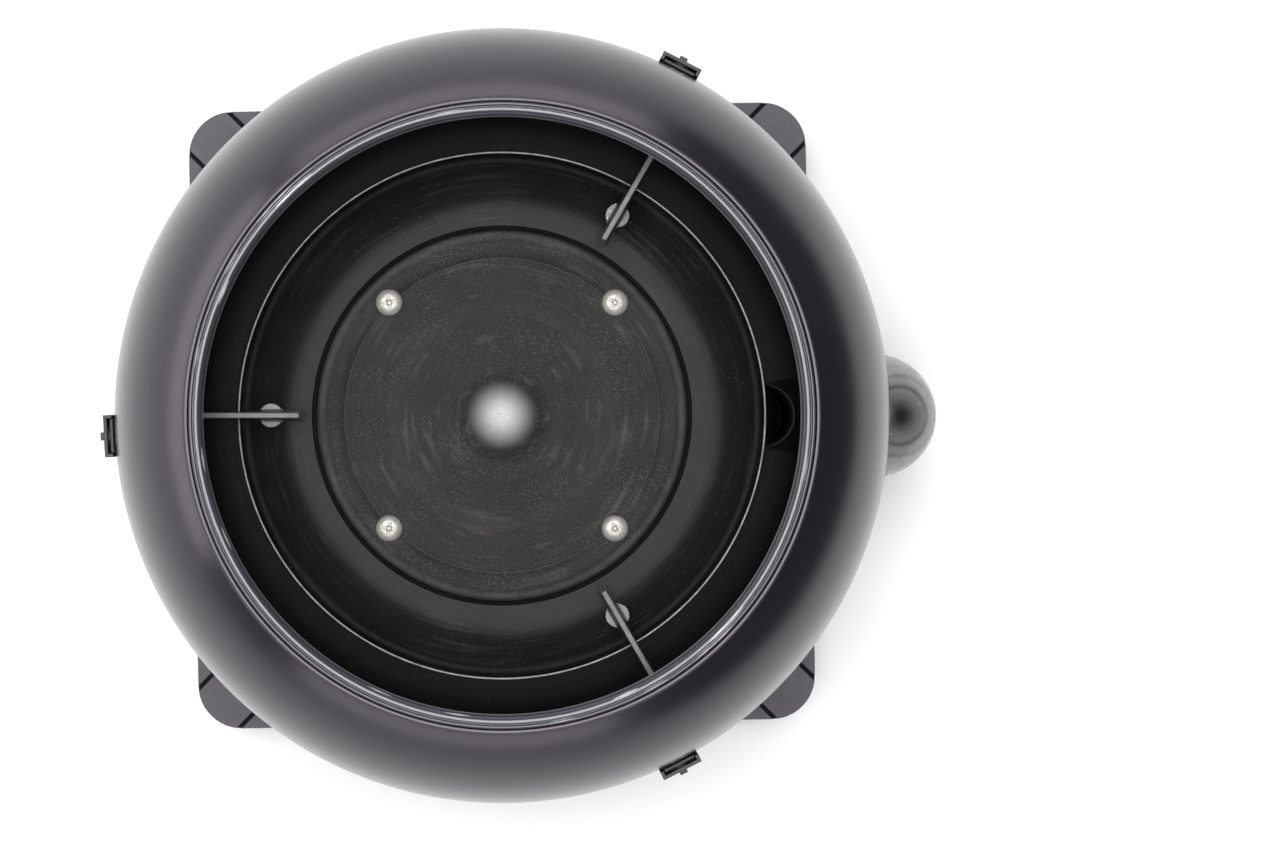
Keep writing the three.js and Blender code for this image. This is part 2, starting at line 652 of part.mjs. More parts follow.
function makeOutletPipe() {
  const pipe = ring(PIPE_RADIUS, PIPE_RADIUS - PIPE_WALL, 0, PIPE_END - PIPE_START, MEDIUM_ROUND);
  return alongX(pipe, PIPE_START, OUTLET_HEIGHT);
}

function makeOutletGasket() {
  const inner = PIPE_RADIUS + GAP;
  const sleeve = ring(inner + GASKET_WIDTH, inner, 0, BODY_RADIUS, MEDIUM_ROUND);
  const laid = alongX(sleeve, SOCKET_END + GAP, OUTLET_HEIGHT);
  return laid.intersect(lowerShellFill(SHELL_WALL + 2 * GAP));
}

function makeOutletElbow() {
  const ballEnd = -Math.acos(LEG_RADIUS / BALL_RADIUS);
  const ball = arcPoints(0, OUTLET_HEIGHT, BALL_RADIUS, BALL_RADIUS, Math.PI / 2, ballEnd, ARC_STEPS);
  const outside = revolve([...ball, [LEG_RADIUS, LEG_BOTTOM], [0, LEG_BOTTOM]], MEDIUM_ROUND);
  const bore = TAIL_RADIUS - TAIL_WALL;
  const inside = revolve(
    [
      [0, LEG_BOTTOM - 1],
      [TAIL_RADIUS + GAP, LEG_BOTTOM - 1],
      [TAIL_RADIUS + GAP, LEG_BOTTOM + TAIL_INSERT],
      [bore, LEG_BOTTOM + TAIL_INSERT],
      ...arcPoints(0, OUTLET_HEIGHT, bore, bore, 0, Math.PI / 2, 4),
    ],
    MEDIUM_ROUND,
  );
  const shell = lowerShellFill(-GAP);
  const pipeBore = alongX(rod(PIPE_RADIUS + GAP, 0, PIPE_END + GAP, MEDIUM_ROUND), 0, OUTLET_HEIGHT);
  const hollow = outside.subtract(inside).translate([LEG_REACH, 0, 0]);
  return hollow.subtract(shell).subtract(pipeBore);
}

function makeOutletTailpiece() {
  const high = LEG_BOTTOM + TAIL_INSERT - GAP;
  const tail = ring(TAIL_RADIUS, TAIL_RADIUS - TAIL_WALL, TAIL_END_HEIGHT, high, MEDIUM_ROUND);
  return tail.translate([LEG_REACH, 0, 0]);
}

function makeClampBand() {
  const inner = LEG_RADIUS + GAP;
  const low = LEG_BOTTOM + CLAMP_LIFT;
  const band = ring(inner + CLAMP_WALL, inner, low, low + CLAMP_HEIGHT, MEDIUM_ROUND);
  const housingDepth = 2 * CLAMP_SCREW_RADIUS + 2;
  const reach = inner + CLAMP_WALL / 2 + housingDepth / 2;
  const housing = block(housingDepth, 10, CLAMP_HEIGHT, reach, 0, low + CLAMP_HEIGHT / 2);
  const screwHole = tangentRod(CLAMP_SCREW_RADIUS + GAP, 12, reach + GAP, low + CLAMP_HEIGHT / 2);
  return band.add(housing.subtract(screwHole)).rotate([0, 0, CLAMP_SCREW_ANGLE]).translate([LEG_REACH, 0, 0]);
}

function makeClampScrew() {
  const inner = LEG_RADIUS + GAP + CLAMP_WALL / 2 + CLAMP_SCREW_RADIUS + 1 + GAP;
  const height = LEG_BOTTOM + CLAMP_LIFT + CLAMP_HEIGHT / 2;
  const screw = tangentRod(CLAMP_SCREW_RADIUS, 12, inner, height);
  const head = tangentRod(CLAMP_SCREW_RADIUS * 1.6, 2.4, inner, height).translate([0, 7.2, 0]);
  return screw.add(head).rotate([0, 0, CLAMP_SCREW_ANGLE]).translate([LEG_REACH, 0, 0]);
}

// Base.
function makeBaseHousing() {
  const inner = roundedSquare(BASE_WIDTH - 2 * BASE_WALL, BASE_CORNER_RADIUS - BASE_WALL);
  let base = slab(roundedSquare(BASE_WIDTH, BASE_CORNER_RADIUS), BASE_FLOOR, BASE_HEIGHT);
  base = base.subtract(slab(inner, BASE_FLOOR + BASE_WALL, BASE_CEILING));
  base = base.subtract(rod(COVER_RADIUS - COVER_OVERLAP, 0, BASE_FLOOR + BASE_WALL + 1, MEDIUM_ROUND));
  base = base.subtract(rod(BASE_TOP_HOLE_RADIUS, BASE_CEILING - 1, BASE_HEIGHT + 1, MEDIUM_ROUND));
  for (const quarter of [45, 135, 225, 315]) {
    for (const side of [-1, 1]) {
      const reach = (BASE_WIDTH / 2) * Math.SQRT2 - GROOVE_LENGTH / 2;
      const groove = block(GROOVE_LENGTH, GROOVE_WIDTH, 2 * GROOVE_DEPTH, reach, (side * GROOVE_SPACING) / 2, BASE_HEIGHT);
      base = base.subtract(groove.rotate([0, 0, quarter]));
    }
  }
  for (const [x, y] of footPlaces()) {
    base = base.subtract(rod(FOOT_STEM_RADIUS + GAP, 0, BASE_FLOOR + BASE_WALL + 1, 12).translate([x, y, 0]));
  }
  const rear = BASE_WIDTH / 2;
  const middle = (BASE_FLOOR + BASE_HEIGHT) / 2;
  return base.subtract(block(INLET_SIZE[0] + 2 * GAP, 4 * BASE_WALL, INLET_SIZE[1] + 2 * GAP, 0, rear, middle));
}

function footPlaces() {
  const reach = BASE_WIDTH / 2 - FOOT_INSET;
  return [[-reach, reach], [reach, reach], [reach, -reach], [-reach, -reach]];
}

function makeFoot() {
  const padTop = BASE_FLOOR - GAP;
  const stemTop = BASE_FLOOR + BASE_WALL + 1;
  const profile = [
    [0, 0],
    [FOOT_PAD_RADIUS, 0],
    [FOOT_PAD_RADIUS, padTop],
    [FOOT_STEM_RADIUS, padTop],
    [FOOT_STEM_RADIUS, stemTop],
    [0, stemTop],
  ];
  return revolve(profile, SMALL_ROUND);
}

function makeBaseCover() {
  const cover = rod(COVER_RADIUS, COVER_LIFT, COVER_LIFT + COVER_THICK, LARGE_ROUND);
  return cover.subtract(rod(BUTTON_RADIUS + GAP, 0, BASE_FLOOR).translate([0, BUTTON_REACH, 0]));
}

// Motor.
function makeMotorShaft() {
  const low = FLOOR_TOP + BELL_THICK;
  return rod(SHAFT_RADIUS, low, HUB_TOP - GAP, MEDIUM_ROUND);
}

// The rotor's end ring carries cast wings that stir the cooling air.
function makeRotorCore() {
  let rotor = ring(ROTOR_RADIUS, SHAFT_RADIUS + GAP, STACK_BOTTOM, STACK_TOP, MEDIUM_ROUND);
  for (let wing = 0; wing < WING_COUNT; wing += 1) {
    const [length, thick, height] = WING_SIZE;
    const blade = block(length, thick, height + 1, ROTOR_RADIUS - 4 - length / 2, 0, STACK_TOP + (height - 1) / 2);
    rotor = rotor.add(blade.rotate([0, 0, (wing * 360) / WING_COUNT]));
  }
  return rotor;
}

function makeStatorCore() {
  const bore = ROTOR_RADIUS + AIR_GAP;
  const shape = new THREE.Shape().absarc(0, 0, STATOR_RADIUS, 0, 2 * Math.PI);
  const inside = new THREE.Path();
  const toothShare = 0.5;
  for (let slot = 0; slot < STATOR_SLOTS; slot += 1) {
    const pitch = (2 * Math.PI) / STATOR_SLOTS;
    const start = slot * pitch;
    const half = start + pitch * toothShare;
    const corners = [[bore, start], [bore, half], [bore + SLOT_DEPTH, half], [bore + SLOT_DEPTH, start + pitch]];
    for (const [radius, angle] of corners) {
      const point = [radius * Math.cos(angle), radius * Math.sin(angle)];
      if (slot === 0 && angle === 0) {
        inside.moveTo(...point);
      } else {
        inside.lineTo(...point);
      }
    }
  }
  inside.closePath();
  shape.holes.push(inside);
  return slab(shape, STACK_BOTTOM, STACK_TOP, 20);
}

function makeWinding(low) {
  const middle = (WINDING_INNER_RADIUS + WINDING_OUTER_RADIUS) / 2;
  const halfWidth = (WINDING_OUTER_RADIUS - WINDING_INNER_RADIUS) / 2;
  const halfHeight = WINDING_HEIGHT / 2;
  const profile = arcPoints(middle, low + halfHeight, halfWidth, halfHeight, 0, 2 * Math.PI, 10);
  profile.pop();
  return revolve(profile, MEDIUM_ROUND);
}

function drillForBolts(solid) {
  let drilled = solid;
  for (const [x, y] of boltPlaces()) {
    drilled = drilled.subtract(rod(BOLT_RADIUS + GAP, 0, RIM_HEIGHT, 12).translate([x, y, 0]));
  }
  return drilled;
}

function boltPlaces() {
  return BOLT_ANGLES.map((angle) => aroundAxis(angle, BOLT_REACH));
}

function makeLowerBell() {
  const low = FLOOR_TOP + GAP;
  const seat = BEARING_RADIUS + GAP;
  const profile = [
    [SHAFT_RADIUS + 2, low],
    [BELL_RADIUS, low],
    [BELL_RADIUS, low + BELL_THICK],
    [seat + BELL_WALL, low + BELL_THICK],
    [seat + BELL_WALL, LOWER_BELL_TOP],
    [seat, LOWER_BELL_TOP],
    [seat, low + BELL_THICK - 1],
    [SHAFT_RADIUS + 2, low + BELL_THICK - 1],
  ];
  return drillForBolts(revolve(profile, MEDIUM_ROUND));
}

function makeUpperBell() {
  const low = UPPER_BELL_BOTTOM;
  const top = PAN_BOTTOM - GAP;
  const seat = BEARING_RADIUS + GAP;
  const profile = [
    [seat, low],
    [BELL_RADIUS, low],
    [BELL_RADIUS, low + BELL_THICK],
    [STATOR_RADIUS - BELL_WALL, low + BELL_THICK],
    [STATOR_RADIUS - BELL_WALL, top],
    [STATOR_RADIUS - 2 * BELL_WALL, top],
    [STATOR_RADIUS - 2 * BELL_WALL, low + BELL_THICK],
    [seat, low + BELL_THICK],
  ];
  return drillForBolts(revolve(profile, MEDIUM_ROUND));
}

function makeBearing(low) {
  return ring(BEARING_RADIUS, SHAFT_RADIUS + GAP, low, low + BEARING_WIDTH, MEDIUM_ROUND);
}

function makeMotorBolt() {
  const headTop = UPPER_BELL_BOTTOM + BELL_THICK + GAP + BOLT_HEAD_HEIGHT;
  const low = FLOOR_TOP + 2 * GAP;
  const under = headTop - BOLT_HEAD_HEIGHT;
  return rod(BOLT_RADIUS, low, under, 10).add(rod(BOLT_HEAD_RADIUS, under, headTop, 6));
}

// Switch gear.
const BUTTON_BOTTOM = COVER_LIFT + BUTTON_RECESS;
const SHOULDER_LOW = COVER_LIFT + COVER_THICK + GAP;
const SHOULDER_TOP = SHOULDER_LOW + 1.2;
const SWITCH_BOTTOM = BASE_CEILING - GAP - SWITCH_SIZE[2];
const STEM_TOP = SWITCH_BOTTOM - BUTTON_TRAVEL - GAP;

function makeResetButton() {
  const profile = [
    [0, BUTTON_BOTTOM],
    [BUTTON_RADIUS, BUTTON_BOTTOM],
    [BUTTON_RADIUS, SHOULDER_LOW],
    [BUTTON_RADIUS + BUTTON_SHOULDER, SHOULDER_LOW],
    [BUTTON_RADIUS + BUTTON_SHOULDER, SHOULDER_TOP],
    [BUTTON_STEM_RADIUS, SHOULDER_TOP],
    [BUTTON_STEM_RADIUS, STEM_TOP],
    [0, STEM_TOP],
  ];
  return revolve(profile, SMALL_ROUND);
}

function makeButtonSpring() {
  const low = SHOULDER_TOP + SPRING_WIRE_RADIUS + GAP;
  const high = SWITCH_BOTTOM - SPRING_WIRE_RADIUS - GAP;
  const points = [];
  const stepsPerTurn = 8;
  for (let step = 0; step <= SPRING_TURNS * stepsPerTurn; step += 1) {
    const angle = (2 * Math.PI * step) / stepsPerTurn;
    const height = low + ((high - low) * step) / (SPRING_TURNS * stepsPerTurn);
    points.push(new THREE.Vector3(SPRING_RADIUS * Math.cos(angle), SPRING_RADIUS * Math.sin(angle), height));
  }
  const wire = new THREE.Shape().absarc(0, 0, SPRING_WIRE_RADIUS, 0, 2 * Math.PI);
  const path = new THREE.CatmullRomCurve3(points);
  const steps = SPRING_TURNS * stepsPerTurn;
  return solidFrom(new THREE.ExtrudeGeometry(wire, { steps, extrudePath: path, curveSegments: 2 }));
}

function makeOverloadSwitch() {
  const [width, depth, height] = SWITCH_SIZE;
  return block(width, depth, height, 0, BUTTON_REACH, SWITCH_BOTTOM + height / 2);
}

function makeCapacitor() {
  const height = BASE_FLOOR + BASE_WALL + GAP + CLIP_WALL + CAPACITOR_RADIUS;
  const [x, y] = CAPACITOR_PLACE;
  const can = rod(CAPACITOR_RADIUS, -CAPACITOR_LENGTH / 2, CAPACITOR_LENGTH / 2);
  return alongY(can, y, height).translate([x, 0, 0]);
}

function makeCapacitorClip() {
  const [x, y] = CAPACITOR_PLACE;
  const inner = CAPACITOR_RADIUS + GAP;
  const height = BASE_FLOOR + BASE_WALL + GAP + CLIP_WALL + CAPACITOR_RADIUS;
  const band = alongY(ring(inner + CLIP_WALL - GAP, inner, -CLIP_WIDTH / 2, CLIP_WIDTH / 2, SMALL_ROUND), y, height);
  const opening = block(inner, CLIP_WIDTH * 2, inner, 0, y, height + inner);
  return band.subtract(opening).translate([x, 0, 0]);
}

function makeSupplyInlet() {
  const [width, height] = INLET_SIZE;
  const rear = BASE_WIDTH / 2;
  const middle = (BASE_FLOOR + BASE_HEIGHT) / 2;
  const flangeWidth = width + 2 * INLET_FLANGE;
  const flange = block(flangeWidth, 1.5, height + INLET_FLANGE, 0, rear + GAP + 0.75, middle);
  const body = block(width, INLET_DEPTH, height, 0, rear + GAP - INLET_DEPTH / 2, middle);
  const cavityDepth = INLET_DEPTH - INLET_CAVITY_WALL;
  const cavity = block(
    width - 2 * INLET_CAVITY_WALL,
    cavityDepth + 4,
    height - 2 * INLET_CAVITY_WALL,
    0,
    rear + 4 - cavityDepth / 2,
    middle,
  );
  let inlet = flange.add(body).subtract(cavity);
  const back = rear + 4 - cavityDepth - 2;
  for (const [x, z] of [[-7, 2], [0, -2], [7, 2]]) {
    const [pinWidth, pinHeight, pinLength] = INLET_PIN;
    inlet = inlet.add(block(pinWidth, pinLength, pinHeight * 2, x, back + pinLength / 2 - 1, middle + z));
  }
  return inlet;
}

const disposal = new THREE.Group();

const body = new THREE.Group();
disposal.add(body);
addPiece(body, 'upper_shell', makeUpperShell(), 'shell');
addPiece(body, 'rim_ring', makeRimRing(), 'shell');
addPiece(body, 'lower_shell', makeLowerShell(), 'shell');
addPiece(body, 'drain_deck', makeDrainDeck(), 'chamber');
addPiece(body, 'grinding_bowl', makeGrindingBowl(), 'chamber');
addPiece(body, 'shaft_seal', makeShaftSeal(), 'rubber');

const spinner = new THREE.Group();
disposal.add(spinner);
addPiece(spinner, 'grind_plate', makeGrindPlate(), 'chamber');
addPiece(spinner, 'plate_hub', makePlateHub(), 'steel');
addPiece(spinner, 'motor_shaft', makeMotorShaft(), 'steel');
addPiece(spinner, 'rotor_core', makeRotorCore(), 'laminate');
screwPlaces().forEach(([x, y], index) => {
  const screw = addPiece(spinner, `plate_screw_${index + 1}`, makePlateScrew(), 'nickel');
  screw.position.set(x, y, 0);
});

VANE_ANGLES.forEach((angle, index) => {
  const spoke = new THREE.Group();
  spoke.rotation.z = THREE.MathUtils.degToRad(angle);
  disposal.add(spoke);
  addPiece(spoke, `breaker_vane_${index + 1}`, makeVane(), 'vane');
  addPiece(spoke, `vane_stud_${index + 1}`, makeVaneStud(), 'stud').position.set(STUD_REACH, 0, 0);
});

LATCH_ANGLES.forEach((angle, index) => {
  const side = new THREE.Group();
  side.rotation.z = THREE.MathUtils.degToRad(angle);
  disposal.add(side);
  addPiece(side, `latch_hasp_${index + 1}`, makeLatchHasp(), 'vane');
  addPiece(side, `latch_pin_${index + 1}`, makeLatchPin(), 'steel');
  addPiece(side, `latch_bracket_${index + 1}`, makeLatchBracket(), 'vane');
  addPiece(side, `latch_catch_${index + 1}`, makeLatchCatch(), 'vane');
});

const drain = new THREE.Group();
disposal.add(drain);
addPiece(drain, 'drain_well', makeDrainWell(), 'chamber');
addPiece(drain, 'outlet_pipe', makeOutletPipe(), 'chamber');
addPiece(drain, 'outlet_gasket', makeOutletGasket(), 'rubber');
addPiece(drain, 'outlet_elbow', makeOutletElbow(), 'shell');
addPiece(drain, 'outlet_tailpiece', makeOutletTailpiece(), 'shell');
addPiece(drain, 'clamp_band', makeClampBand(), 'steel');
addPiece(drain, 'clamp_screw', makeClampScrew(), 'steel');

const base = new THREE.Group();
base.rotation.z = BASE_TURN;
disposal.add(base);
addPiece(base, 'base_housing', makeBaseHousing(), 'shell');
addPiece(base, 'base_cover', makeBaseCover(), 'shell');
footPlaces().forEach(([x, y], index) => {
  addPiece(base, `foot_${index + 1}`, makeFoot(), 'rubber').position.set(x, y, 0);
});
addPiece(base, 'reset_button', makeResetButton(), 'red').position.set(0, BUTTON_REACH, 0);
addPiece(base, 'button_spring', makeButtonSpring(), 'steel').position.set(0, BUTTON_REACH, 0);
addPiece(base, 'overload_switch', makeOverloadSwitch(), 'rubber');
addPiece(base, 'capacitor', makeCapacitor(), 'aluminium');
addPiece(base, 'capacitor_clip', makeCapacitorClip(), 'steel');
addPiece(base, 'supply_inlet', makeSupplyInlet(), 'rubber');

const motor = new THREE.Group();
disposal.add(motor);
addPiece(motor, 'stator_core', makeStatorCore(), 'laminate');
addPiece(motor, 'upper_winding', makeWinding(STACK_TOP + GAP), 'copper');
addPiece(motor, 'lower_winding', makeWinding(STACK_BOTTOM - GAP - WINDING_HEIGHT), 'copper');
addPiece(motor, 'lower_end_bell', makeLowerBell(), 'aluminium');
addPiece(motor, 'upper_end_bell', makeUpperBell(), 'aluminium');
addPiece(motor, 'lower_bearing', makeBearing(FLOOR_TOP + BELL_THICK + GAP), 'steel');
addPiece(motor, 'upper_bearing', makeBearing(UPPER_BELL_BOTTOM), 'steel');
boltPlaces().forEach(([x, y], index) => {
  addPiece(motor, `motor_bolt_${index + 1}`, makeMotorBolt(), 'steel').position.set(x, y, 0);
});

export default disposal;
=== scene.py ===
import json
import math

import bmesh
import bpy
from mathutils import Matrix, Vector


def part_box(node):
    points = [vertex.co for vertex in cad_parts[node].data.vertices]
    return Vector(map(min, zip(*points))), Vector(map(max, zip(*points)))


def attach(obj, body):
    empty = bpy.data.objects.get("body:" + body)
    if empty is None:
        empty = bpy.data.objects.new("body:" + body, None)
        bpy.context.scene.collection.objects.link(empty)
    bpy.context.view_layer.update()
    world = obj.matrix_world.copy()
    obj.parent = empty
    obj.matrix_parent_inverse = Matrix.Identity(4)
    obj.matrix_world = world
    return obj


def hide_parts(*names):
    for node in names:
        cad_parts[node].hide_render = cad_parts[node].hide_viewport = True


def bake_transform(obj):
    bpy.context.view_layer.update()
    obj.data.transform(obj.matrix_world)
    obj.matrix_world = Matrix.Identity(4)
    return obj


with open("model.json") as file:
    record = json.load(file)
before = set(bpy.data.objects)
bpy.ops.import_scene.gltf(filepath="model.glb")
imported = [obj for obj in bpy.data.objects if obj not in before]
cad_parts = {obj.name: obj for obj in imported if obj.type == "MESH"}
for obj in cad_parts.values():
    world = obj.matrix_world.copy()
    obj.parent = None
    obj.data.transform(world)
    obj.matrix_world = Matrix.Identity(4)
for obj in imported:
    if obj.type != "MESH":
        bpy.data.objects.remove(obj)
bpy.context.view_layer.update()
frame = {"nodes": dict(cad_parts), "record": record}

bl_info = {
    "name": "Garbage Disposal Builder",
    "version": (1, 0, 0),
    "blender": (4, 5, 0),
    "location": "3D View > Sidebar > Disposal",
    "description": "Fine surfaces, finishes and a studio for a kitchen garbage disposal",
    "category": "Object",
}

# Which body each CAD node belongs to, read from the record.
BODY_OF = {node: body for body, nodes in frame["record"]["behaviour"]["bodies"].items()
           for node in nodes}


def low(node):
    """A node's lowest corner, in millimetres."""
    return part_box(node)[0] * 1000


def high(node):
    """A node's highest corner, in millimetres."""
    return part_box(node)[1] * 1000


def middle(node):
    return (low(node) + high(node)) / 2


# Levels and radii, in millimetres, read from the frame.
RIM_TOP = high("rim_ring").z
RIM_OUTER = high("rim_ring").x
SHELL_TOP = high("upper_shell").z
SEAM = (low("upper_shell").z + high("lower_shell").z) / 2
SHELL_FOOT = low("lower_shell").z
BASE_TOP = high("base_housing").z
BODY_RADIUS = high("upper_shell").x
CREST_TOP = high("grinding_bowl").z
SKIRT_FOOT = low("grinding_bowl").z
CREST_OUTER = high("grinding_bowl").x
DECK_OUTER = high("drain_deck").x
PLATE_RADIUS = high("grind_plate").x
PLATE_FOOT = low("grind_plate").z
DOME_TOP = high("grind_plate").z

# Shared sizes, in millimetres, and the angles at which pieces stand round the axis, in degrees.
GAP = 0.3
GROOVE_DEPTH = 1
BOWL_DEPTH = 16.5
DECK_LEDGE = 131
PAN_FOOT = 121
PORT_BORE = 10.5
PORT_MOUTH = 11.4
DOME_RADIUS = 19.5
ELBOW_LEG = 16.5
NUMBERS = (1, 2, 3)
VANE_ANGLES = (60, 180, 300)
LATCH_ANGLES = (63, 183, 297)


# ---------------------------------------------------------------- sizes and colours

class ShellSettings(bpy.types.PropertyGroup):
    """Sizes and colours of the moulded body."""
    crown_centre: bpy.props.FloatProperty(
        name="Crown centre", description="Radius of the circle that the shell's curve is centred on",
        default=0.062, subtype="DISTANCE", unit="LENGTH")
    wall: bpy.props.FloatProperty(
        name="Shell wall", description="Thickness of the moulded shells",
        default=0.0036, subtype="DISTANCE", unit="LENGTH")
    foot_radius: bpy.props.FloatProperty(
        name="Foot radius", description="Radius of the lower shell where it stands on the base",
        default=0.0986, subtype="DISTANCE", unit="LENGTH")
    mouth_radius: bpy.props.FloatProperty(
        name="Mouth radius", description="Inner radius of the grooved ring in the mouth",
        default=0.0996, subtype="DISTANCE", unit="LENGTH")
    colour: bpy.props.FloatVectorProperty(
        name="Shell colour", description="Colour of the gloss moulded plastic",
        default=(0.0095, 0.0098, 0.0125), size=3, min=0, max=1, subtype="COLOR")
    base_colour: bpy.props.FloatVectorProperty(
        name="Base colour", description="Colour of the square base's satin plastic",
        default=(0.014, 0.0145, 0.017), size=3, min=0, max=1, subtype="COLOR")


class ChamberSettings(bpy.types.PropertyGroup):
    """Sizes and colours inside the mouth."""
    bowl_wall: bpy.props.FloatProperty(
        name="Bowl wall", description="Thickness of the bowl at its crest",
        default=0.003, subtype="DISTANCE", unit="LENGTH")
    crest_flat: bpy.props.FloatProperty(
        name="Crest flat", description="Width of the worn flat on the bowl's crest",
        default=0.0009, subtype="DISTANCE", unit="LENGTH")
    deck_thickness: bpy.props.FloatProperty(
        name="Deck thickness", description="Thickness of the drain deck",
        default=0.003, subtype="DISTANCE", unit="LENGTH")
    bowl_colour: bpy.props.FloatVectorProperty(
        name="Bowl colour", description="Colour of the scuffed bowl and plate",
        default=(0.02, 0.0185, 0.0185), size=3, min=0, max=1, subtype="COLOR")
    stud_colour: bpy.props.FloatVectorProperty(
        name="Stud colour", description="Colour of the grey studs between the vanes' legs",
        default=(0.25, 0.25, 0.25), size=3, min=0, max=1, subtype="COLOR")


class StudioSettings(bpy.types.PropertyGroup):
    """Camera, lights and floor."""
    lens: bpy.props.FloatProperty(
        name="Lens", description="Focal length of the camera",
        default=85, min=10, max=300, subtype="DISTANCE_CAMERA", unit="CAMERA")
    camera_height: bpy.props.FloatProperty(
        name="Camera height", description="How far the camera is above the rim",
        default=1.0, subtype="DISTANCE", unit="LENGTH")
    floor_colour: bpy.props.FloatVectorProperty(
        name="Floor colour", description="Colour of the plain pale floor",
        default=(0.93, 0.93, 0.93), size=3, min=0, max=1, subtype="COLOR")


# ---------------------------------------------------------------- shaping helpers

def softened(corners, steps=4):
    """A closed outline of (radius, height) or (radius, height, rounding) corners, rounded off."""
    outline = []
    for index, corner in enumerate(corners):
        here = Vector(corner[:2])
        rounding = corner[2] if len(corner) > 2 else 0
        if rounding <= 0:
            outline.append((here.x, here.y))
            continue
        back = Vector(corners[index - 1][:2]) - here
        ahead = Vector(corners[(index + 1) % len(corners)][:2]) - here
        reach = min(rounding, back.length * 0.49, ahead.length * 0.49)
        start = here + back.normalized() * reach
        end = here + ahead.normalized() * reach
        for step in range(steps + 1):
            share = step / steps
            point = start.lerp(here, share).lerp(here.lerp(end, share), share)
            outline.append((point.x, point.y))
    return outline


def arc(centre, half, start, end, steps):
    """Points on an ellipse from one angle to another, in degrees."""
    points = []
    for step in range(steps + 1):
        angle = math.radians(start + (end - start) * step / steps)
        points.append((centre[0] + half[0] * math.cos(angle),
            centre[1] + half[1] * math.sin(angle)))
    return points


def turned(name, outline, segments=128, centre=(0, 0), sharp=35):
    """A piece turned from a closed (radius, height) outline about an upright line, in millimetres."""
    bm = bmesh.new()
    rings = []
    for radius, height in outline:
        if radius < 1e-4:
            rings.append([bm.verts.new((centre[0] / 1000, centre[1] / 1000, height / 1000))])
            continue
        ring = []
        for step in range(segments):
            angle = 2 * math.pi * step / segments
            ring.append(bm.verts.new(((centre[0] + radius * math.cos(angle)) / 1000,
                (centre[1] + radius * math.sin(angle)) / 1000, height / 1000)))
        rings.append(ring)
    for index, ring in enumerate(rings):
        after = rings[(index + 1) % len(rings)]
        if len(ring) == 1 and len(after) == 1:
            continue
        for step in range(segments):
            ahead = (step + 1) % segments
            if len(ring) == 1:
                bm.faces.new((ring[0], after[ahead], after[step]))
            elif len(after) == 1:
                bm.faces.new((ring[step], ring[ahead], after[0]))
            else:
                bm.faces.new((ring[step], ring[ahead], after[ahead], after[step]))
    return new_object(name, finished_mesh(bm, name, sharp))


def finished_mesh(bm, name, sharp=35):
    """Closes a bmesh into a mesh with its normals outward and its sharp edges marked."""
    bmesh.ops.remove_doubles(bm, verts=bm.verts, dist=1e-7)
    bmesh.ops.recalc_face_normals(bm, faces=bm.faces)
    mesh = bpy.data.meshes.new(name)
    bm.to_mesh(mesh)
    bm.free()
    mesh.shade_smooth()
    mesh.set_sharp_from_angle(angle=math.radians(sharp))
    return mesh


def new_object(name, mesh):
    """Puts a mesh in the scene as an object."""
    piece = bpy.data.objects.new(name, mesh)
    bpy.context.scene.collection.objects.link(piece)
    return piece


def cutter_rod(radius, start, end, segments=64):
    """A plain rod between two points, in millimetres, used only to cut with."""
    start, end = Vector(start) / 1000, Vector(end) / 1000
    bm = bmesh.new()
    bmesh.ops.create_cone(bm, cap_ends=True, segments=segments, radius1=radius / 1000,
        radius2=radius / 1000,
        depth=(end - start).length)
    turn = (end - start).to_track_quat("Z", "Y").to_matrix().to_4x4()
    bmesh.ops.transform(bm, matrix=Matrix.Translation((start + end) / 2) @ turn, verts=bm.verts)
    return new_object("cutter", finished_mesh(bm, "cutter"))


def cutter_cone(foot_radius, top_radius, foot, height, segments=32):
    """A cone that opens upward from a foot point, in millimetres, used only to cut with."""
    bm = bmesh.new()
    bmesh.ops.create_cone(bm, cap_ends=True, segments=segments, radius1=foot_radius / 1000,
        radius2=top_radius / 1000, depth=height / 1000)
    middle_point = (Vector(foot) + Vector((0, 0, height / 2))) / 1000
    bmesh.ops.translate(bm, vec=middle_point, verts=bm.verts)
    return new_object("cutter", finished_mesh(bm, "cutter"))


def cutter_block(size, matrix):
    """A plain block of a size in millimetres, placed by a matrix, used only to cut with."""
    bm = bmesh.new()
    bmesh.ops.create_cube(bm, size=1)
    bmesh.ops.scale(bm, vec=Vector(size) / 1000, verts=bm.verts)
    bmesh.ops.transform(bm, matrix=matrix, verts=bm.verts)
    return new_object("cutter", finished_mesh(bm, "cutter"))


def settle(piece, sharp=35):
    """Applies a piece's modifiers. With no sharp angle, it keeps the shading that they give."""
    depsgraph = bpy.context.evaluated_depsgraph_get()
    applied = bpy.data.meshes.new_from_object(piece.evaluated_get(depsgraph))
    old = piece.data
    piece.modifiers.clear()
    piece.data = applied
    bpy.data.meshes.remove(old)
    applied.name = piece.name
    if sharp is not None:
        applied.shade_smooth()
        applied.set_sharp_from_angle(angle=math.radians(sharp))
    return piece


def combine(piece, tool, operation="DIFFERENCE", sharp=35):
    """Cuts with another closed piece, or joins it, and removes that piece."""
    change = piece.modifiers.new("Combine", "BOOLEAN")
    change.operation = operation
    change.object = tool
    change.solver = "EXACT"
    settle(piece, sharp)
    old = tool.data
    bpy.data.objects.remove(tool)
    bpy.data.meshes.remove(old)
    if not piece.data.polygons:
        raise RuntimeError(f"{piece.name} has no faces left after its {operation.lower()}")
    return piece


